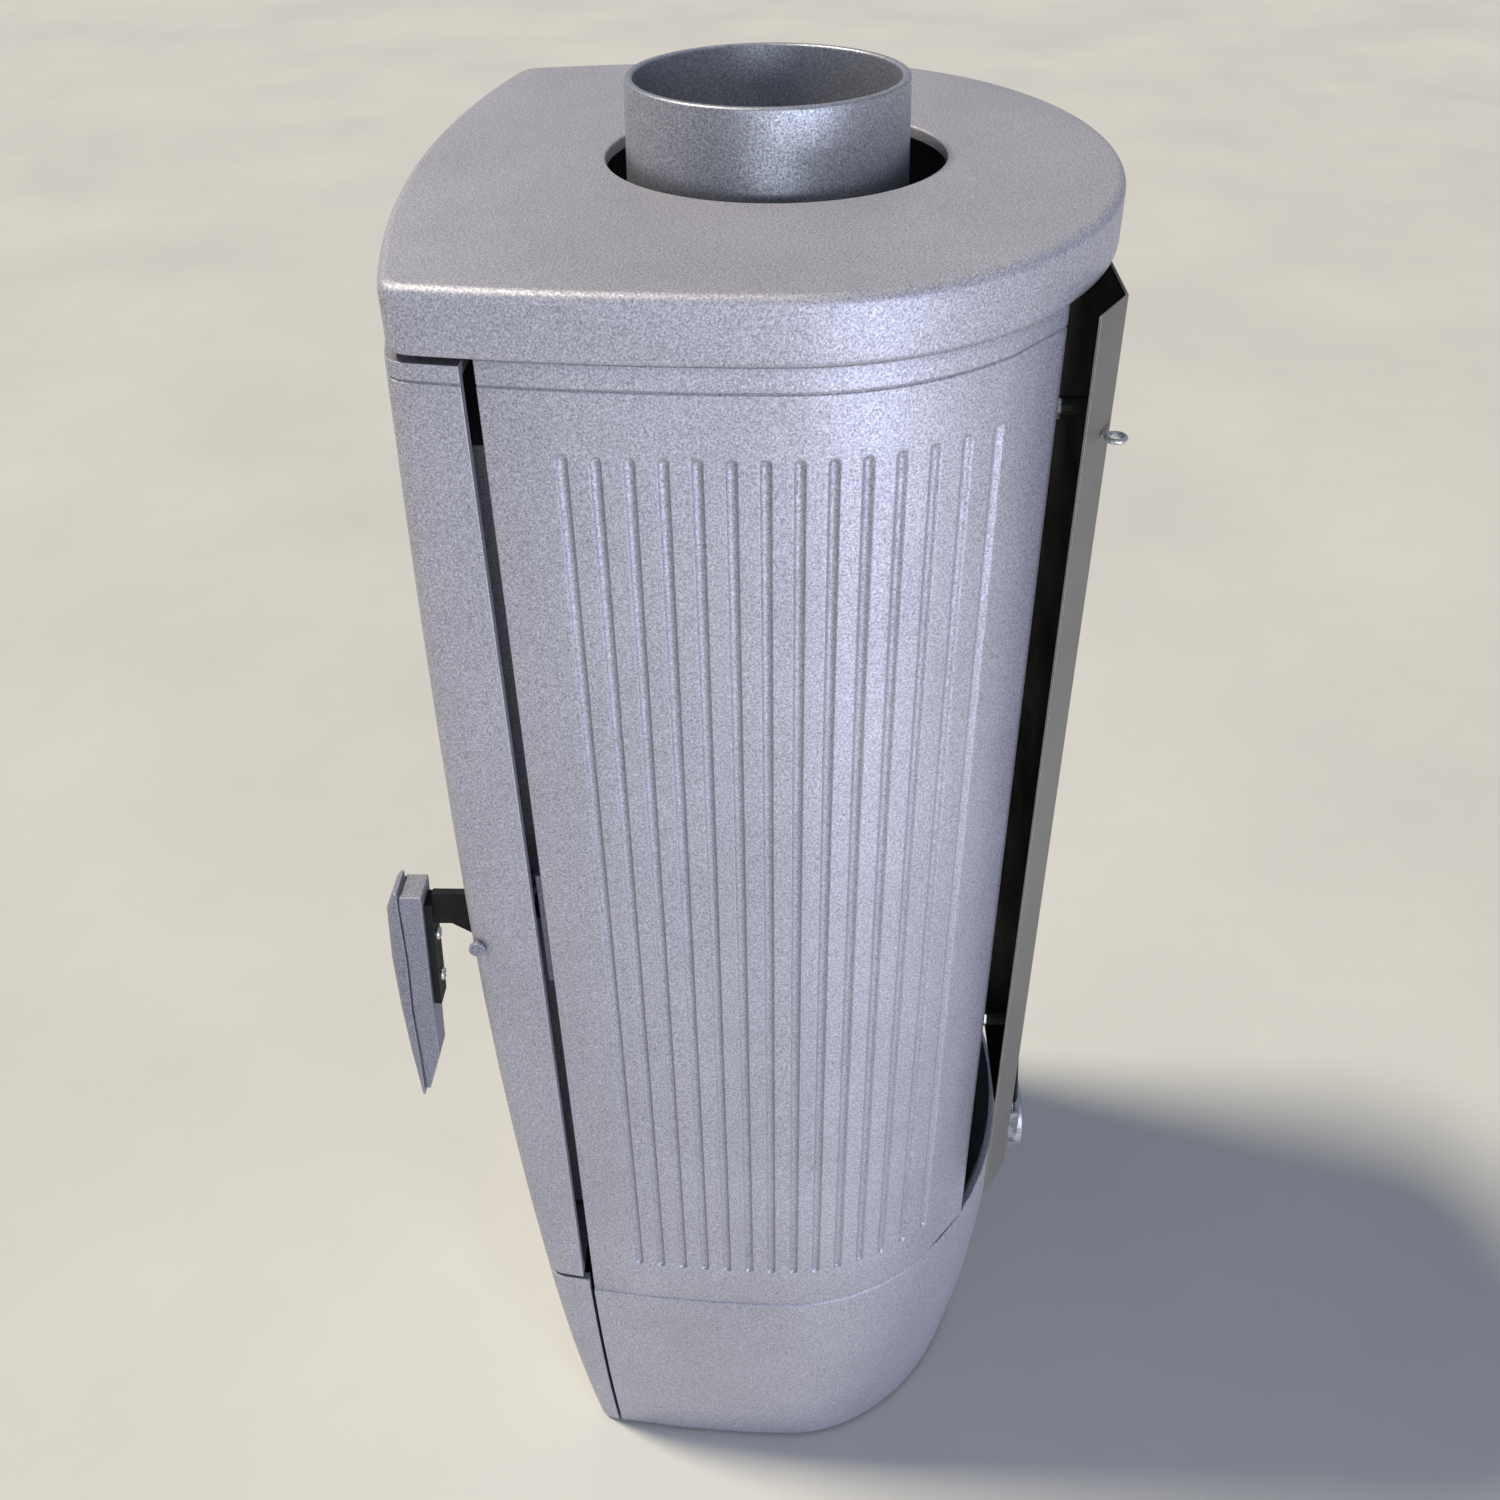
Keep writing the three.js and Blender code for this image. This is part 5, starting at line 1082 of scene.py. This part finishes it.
def grip_level(half_width, height, back, front):
    """Four corners of the grip's body at one height."""
    corners = ((-half_width, back), (-half_width, front), (half_width, front), (half_width, back))
    return [grip_point(x, depth, height) for x, depth in corners]


def grip_body_rows():
    return [
        grip_level(width * GRIP_BODY_HALF_WIDTH, height, back, front)
        for height, back, front, width in GRIP_BODY_SHARES
    ]


def grip_seam_rows():
    """Levels of the seam's sunk floor, which reaches into the body and the plate."""
    half_width = GRIP_BODY_HALF_WIDTH - GRIP_SEAM_DEPTH
    return [
        grip_level(
            width * half_width, height, front - GRIP_SEAM_BACK_SHARE, front + GRIP_SEAM_FRONT_SHARE
        )
        for height, _, front, width in GRIP_BODY_SHARES
    ]


def grip_plate_rows():
    """Six-cornered levels of the bevelled front plate."""
    rows = []
    for height, back, shoulder, front, width in GRIP_PLATE_SHARES:
        half = width * GRIP_PLATE_HALF_WIDTH
        inner = half * (1 - GRIP_PLATE_BEVEL_SHARE)
        section = [(-half, back), (-half, shoulder), (-inner, front)]
        section += [(-x, depth) for x, depth in reversed(section)]
        rows.append([grip_point(x, depth, height) for x, depth in section])
    return rows


def handle_grip(material):
    """Faceted grip: a tapering body, a thin seam and a bevelled front plate."""
    points, faces = [], []
    for rows in (grip_body_rows(), grip_seam_rows(), grip_plate_rows()):
        faces += turned_over(bar_faces(len(rows), len(rows[0]), first=len(points)))
        points += all_points(rows)
    grip = mesh_piece(
        "handle_grip_casting", points, faces, [material], "handle", GRIP_SHARP_ANGLE
    )
    round_edges(grip, GRIP_EDGE, GRIP_ROUNDED_ANGLE)
    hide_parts("handle_grip")


def rod_rows(start, end, radius, turns):
    """Rows of points round a straight rod between two points."""
    start, end = Vector(start), Vector(end)
    along = (end - start).normalized()
    side = along.orthogonal().normalized()
    other = along.cross(side)
    return [
        [tuple(spot + radius * (side * math.cos(t) + other * math.sin(t))) for t in turns]
        for spot in (start, end)
    ]


def ring_rows(centre, z, ring_radius, wire_radius, wire_turns):
    """Rows of points round the wire of a flat ring."""
    rows = []
    for turn in turns_round(EYE_RING_STEPS):
        reaches = [ring_radius + wire_radius * math.cos(around) for around in wire_turns]
        heights = [z + wire_radius * math.sin(around) for around in wire_turns]
        rows.append([
            (centre.x + reach * math.cos(turn), centre.y + reach * math.sin(turn), height)
            for reach, height in zip(reaches, heights)
        ])
    return rows


def shield_eye(material):
    """Small wire ring lying flat, on a short shank that stands out from the wing."""
    wing = Vector((SHIELD_WING_X, -SHIELD_WING_Y))
    outward = Vector((SHIELD_WING_Y, SHIELD_WING_X)).normalized()
    foot = Vector((SHIELD_HALF_WIDTH, SHIELD_BACK_Y)) + wing * EYE_PLACE_SHARE
    start = foot + outward * EYE_SHANK_START
    neck = start + outward * EYE_SHANK_LENGTH
    centre = neck + outward * EYE_RING_RADIUS
    turns = turns_round(EYE_WIRE_STEPS)
    ring = ring_rows(centre, EYE_Z, EYE_RING_RADIUS, EYE_WIRE_RADIUS, turns)
    shank = rod_rows((*start, EYE_Z), (*neck, EYE_Z), EYE_SHANK_RADIUS, turns)
    faces = turned_over(grid_faces(len(ring), len(turns), closed_rows=True, closed_columns=True))
    faces += bar_faces(len(shank), len(turns), first=len(ring) * len(turns))
    eye = mesh_piece("shield_eye_ring", all_points(ring + shank), faces, [material], "stove_body")
    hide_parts("shield_eye")


def spacer_nut(name, x, z, material):
    """Six-sided nut round a shield spacer, against the rear panel."""
    end_y = NUT_START_Y + NUT_LENGTH
    end_radius = NUT_CORNER_RADIUS * NUT_END_SHARE
    profile = [
        (end_radius, NUT_START_Y),
        (NUT_CORNER_RADIUS, NUT_START_Y + NUT_CHAMFER),
        (NUT_CORNER_RADIUS, end_y - NUT_CHAMFER),
        (end_radius, end_y),
    ]
    points = [
        (x + r * math.cos(t), y, z + r * math.sin(t))
        for r, y in profile
        for t in turns_round(NUT_SIDES)
    ]
    faces = turned_over(bar_faces(len(profile), NUT_SIDES))
    nut = mesh_piece(
        "spacer_nut_" + name, points, faces, [material], "stove_body", NUT_SHARP_ANGLE
    )


def socket_radius(turn):
    """Reach of the screw's socket in a direction."""
    half_side = math.pi / SCREW_SOCKET_SIDES
    folded = turn % (2 * half_side) - half_side
    return SCREW_SOCKET_RADIUS * math.cos(half_side) / math.cos(folded)


def screw_rows():
    """Rows of points of a screw that points along Y: shank, domed head and socket."""
    turns = turns_round(SCREW_STEPS)
    head_top = SCREW_HEAD_START + SCREW_HEAD_HEIGHT
    profile = [(SCREW_SHANK_RADIUS, -SCREW_DEPTH), (SCREW_SHANK_RADIUS, SCREW_HEAD_START)]
    profile += [
        (SCREW_HEAD_RADIUS * radius, SCREW_HEAD_START + SCREW_HEAD_HEIGHT * height)
        for radius, height in SCREW_DOME_SHARES
    ]
    rings = [([radius] * SCREW_STEPS, y) for radius, y in profile]
    socket = [socket_radius(turn) for turn in turns]
    rings += [(socket, head_top), (socket, head_top - SCREW_SOCKET_DEPTH)]
    return [
        [(radius * math.cos(t), y, radius * math.sin(t)) for radius, t in zip(radii, turns)]
        for radii, y in rings
    ]


def grip_screw(node, z, material):
    """Button-head screw with a six-sided socket, square to the grip's leaning back."""
    rows = screw_rows()
    run = grip_back_y(GRIP_TOP_Z) - grip_back_y(GRIP_BOTTOM_Z)
    lean = math.atan(run / (GRIP_TOP_Z - GRIP_BOTTOM_Z))
    turn = Matrix.Rotation(-lean, 3, "X")
    foot = Vector((HANDLE_X, grip_back_y(z), z))
    points = [tuple(foot + turn @ Vector(point)) for point in all_points(rows)]
    faces = turned_over(bar_faces(len(rows), SCREW_STEPS))
    screw = mesh_piece(node + "_head", points, faces, [material], "handle", SCREW_SHARP_ANGLE)
    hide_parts(node)


# CAD nodes that stay

def smoothing_group():
    """Joins a CAD mesh's faces and shades its curved faces smoothly."""
    group = bpy.data.node_groups.new("soft_shading", "GeometryNodeTree")
    group.interface.new_socket("Geometry", in_out="INPUT", socket_type="NodeSocketGeometry")
    group.interface.new_socket("Geometry", in_out="OUTPUT", socket_type="NodeSocketGeometry")
    nodes, links = group.nodes, group.links
    entry = nodes.new("NodeGroupInput")
    bare = nodes.new("GeometryNodeRemoveAttribute")
    bare.inputs["Name"].default_value = "custom_normal"
    merge = nodes.new("GeometryNodeMergeByDistance")
    merge.inputs["Distance"].default_value = NODE_MERGE_DISTANCE
    smooth = nodes.new("GeometryNodeSetShadeSmooth")
    smooth.domain = "FACE"
    crease = nodes.new("GeometryNodeSetShadeSmooth")
    crease.domain = "EDGE"
    crease.inputs["Shade Smooth"].default_value = False
    angle = nodes.new("GeometryNodeInputMeshEdgeAngle")
    above = nodes.new("FunctionNodeCompare")
    above.operation = "GREATER_THAN"
    above.inputs["B"].default_value = math.radians(NODE_SHARP_ANGLE)
    leave = nodes.new("NodeGroupOutput")
    chain = (entry, bare, merge, smooth, crease, leave)
    for node, after in zip(chain, chain[1:]):
        links.new(node.outputs["Geometry"], after.inputs["Geometry"])
    links.new(angle.outputs["Unsigned Angle"], above.inputs["A"])
    links.new(above.outputs["Result"], crease.inputs["Selection"])
    return group


def dress_nodes(nodes, finishes):
    """Gives every CAD node its finish and soft shading, and some a real rounded edge."""
    group = smoothing_group()
    for name, node in nodes.items():
        slot = node.material_slots[0]
        slot.material = finishes.get(name) or finishes[slot.name]
        node.modifiers.new("soft_shading", "NODES").node_group = group
        if name in NODE_EDGES:
            round_edges(node, NODE_EDGES[name], NODE_ROUNDED_ANGLE)


# Stage, lights and camera

def pale_floor(material):
    mesh = bpy.data.meshes.new("floor")
    signs = ((-1, -1), (1, -1), (1, 1), (-1, 1))
    corners = [(x * FLOOR_REACH, y * FLOOR_REACH, 0) for x, y in signs]
    mesh.from_pydata(corners, [], [(0, 1, 2, 3)])
    mesh.materials.append(material)
    floor = bpy.data.objects.new("floor", mesh)
    bpy.context.scene.collection.objects.link(floor)


def aimed_light(name, kind, direction, power, colour):
    """A light that shines in a direction."""
    data = bpy.data.lights.new(name, kind)
    data.energy = power
    data.color = colour
    light = bpy.data.objects.new(name, data)
    light.rotation_euler = Vector(direction).to_track_quat("-Z", "Y").to_euler()
    bpy.context.scene.collection.objects.link(light)
    return light


def soft_light(name, place, aim, size, power, colour):
    """A round light with a narrow beam, so that the floor below it stays even."""
    light = aimed_light(name, "AREA", Vector(aim) - Vector(place), power, colour)
    light.location = place
    light.data.shape = "DISK"
    light.data.spread = math.radians(LIGHT_SPREAD)
    light.data.size = size


def sky_light():
    """Even light from high on one side, wide enough for soft shadows."""
    light = aimed_light("sky", "SUN", SKY_DIRECTION, SKY_STRENGTH, SKY_COLOUR)
    light.data.angle = math.radians(SKY_WIDTH)


def room_light():
    world = bpy.data.worlds.new("room")
    world.use_nodes = True
    background = world.node_tree.nodes["Background"]
    background.inputs["Color"].default_value = (*ROOM_COLOUR, 1)
    background.inputs["Strength"].default_value = ROOM_STRENGTH
    bpy.context.scene.world = world


def photo_camera():
    """The camera at the photograph's place, turned by its yaw, pitch and roll."""
    level = Vector((-math.cos(CAMERA_YAW), -math.sin(CAMERA_YAW), 0))
    right = Vector((-math.sin(CAMERA_YAW), math.cos(CAMERA_YAW), 0))
    up = Vector((0, 0, 1))
    ahead = level * math.cos(CAMERA_PITCH) - up * math.sin(CAMERA_PITCH)
    above = level * math.sin(CAMERA_PITCH) + up * math.cos(CAMERA_PITCH)
    cosine, sine = math.cos(CAMERA_ROLL), math.sin(CAMERA_ROLL)
    axis_x = right * cosine + above * sine
    axis_y = above * cosine - right * sine
    data = bpy.data.cameras.new("camera")
    data.sensor_width = SENSOR_WIDTH
    data.lens = FOCAL_PIXELS / IMAGE_SIZE * SENSOR_WIDTH
    data.clip_start = CLIP_START
    camera = bpy.data.objects.new("camera", data)
    turn = Matrix((axis_x, axis_y, -ahead)).transposed()
    camera.matrix_world = Matrix.Translation(CAMERA_PLACE) @ turn.to_4x4()
    bpy.context.scene.collection.objects.link(camera)
    bpy.context.scene.camera = camera


def build_pieces(finishes):
    """Every piece that is modelled here."""
    grey, steel = finishes["grey_paint"], finishes["pale_steel"]
    top_plate(grey)
    side_panel("side_panel_right", 1, grey)
    side_panel("side_panel_left", -1, grey)
    flue_collar(finishes["flue_collar"])
    heat_shield(finishes["heat_shield"], finishes["black_paint"])
    door_rope(finishes["rope_white"])
    handle_grip(finishes["handle_grip"])
    for node, z in SCREW_HEIGHTS.items():
        grip_screw(node, z, steel)
    shield_eye(finishes["shield_eye"])
    for name, (x, z) in SPACER_PLACES.items():
        spacer_nut(name, x, z, steel)


def main():
    for thing in list(bpy.data.objects):
        bpy.data.objects.remove(thing)
    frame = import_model()

    finishes = make_finishes()
    dress_nodes(frame["nodes"], finishes)
    build_pieces(finishes)

    pale_floor(floor_finish())
    room_light()
    sky_light()
    for name, light in SOFT_LIGHTS.items():
        soft_light(name, *light)
    photo_camera()
    bpy.context.scene.view_settings.view_transform = "Standard"


main()
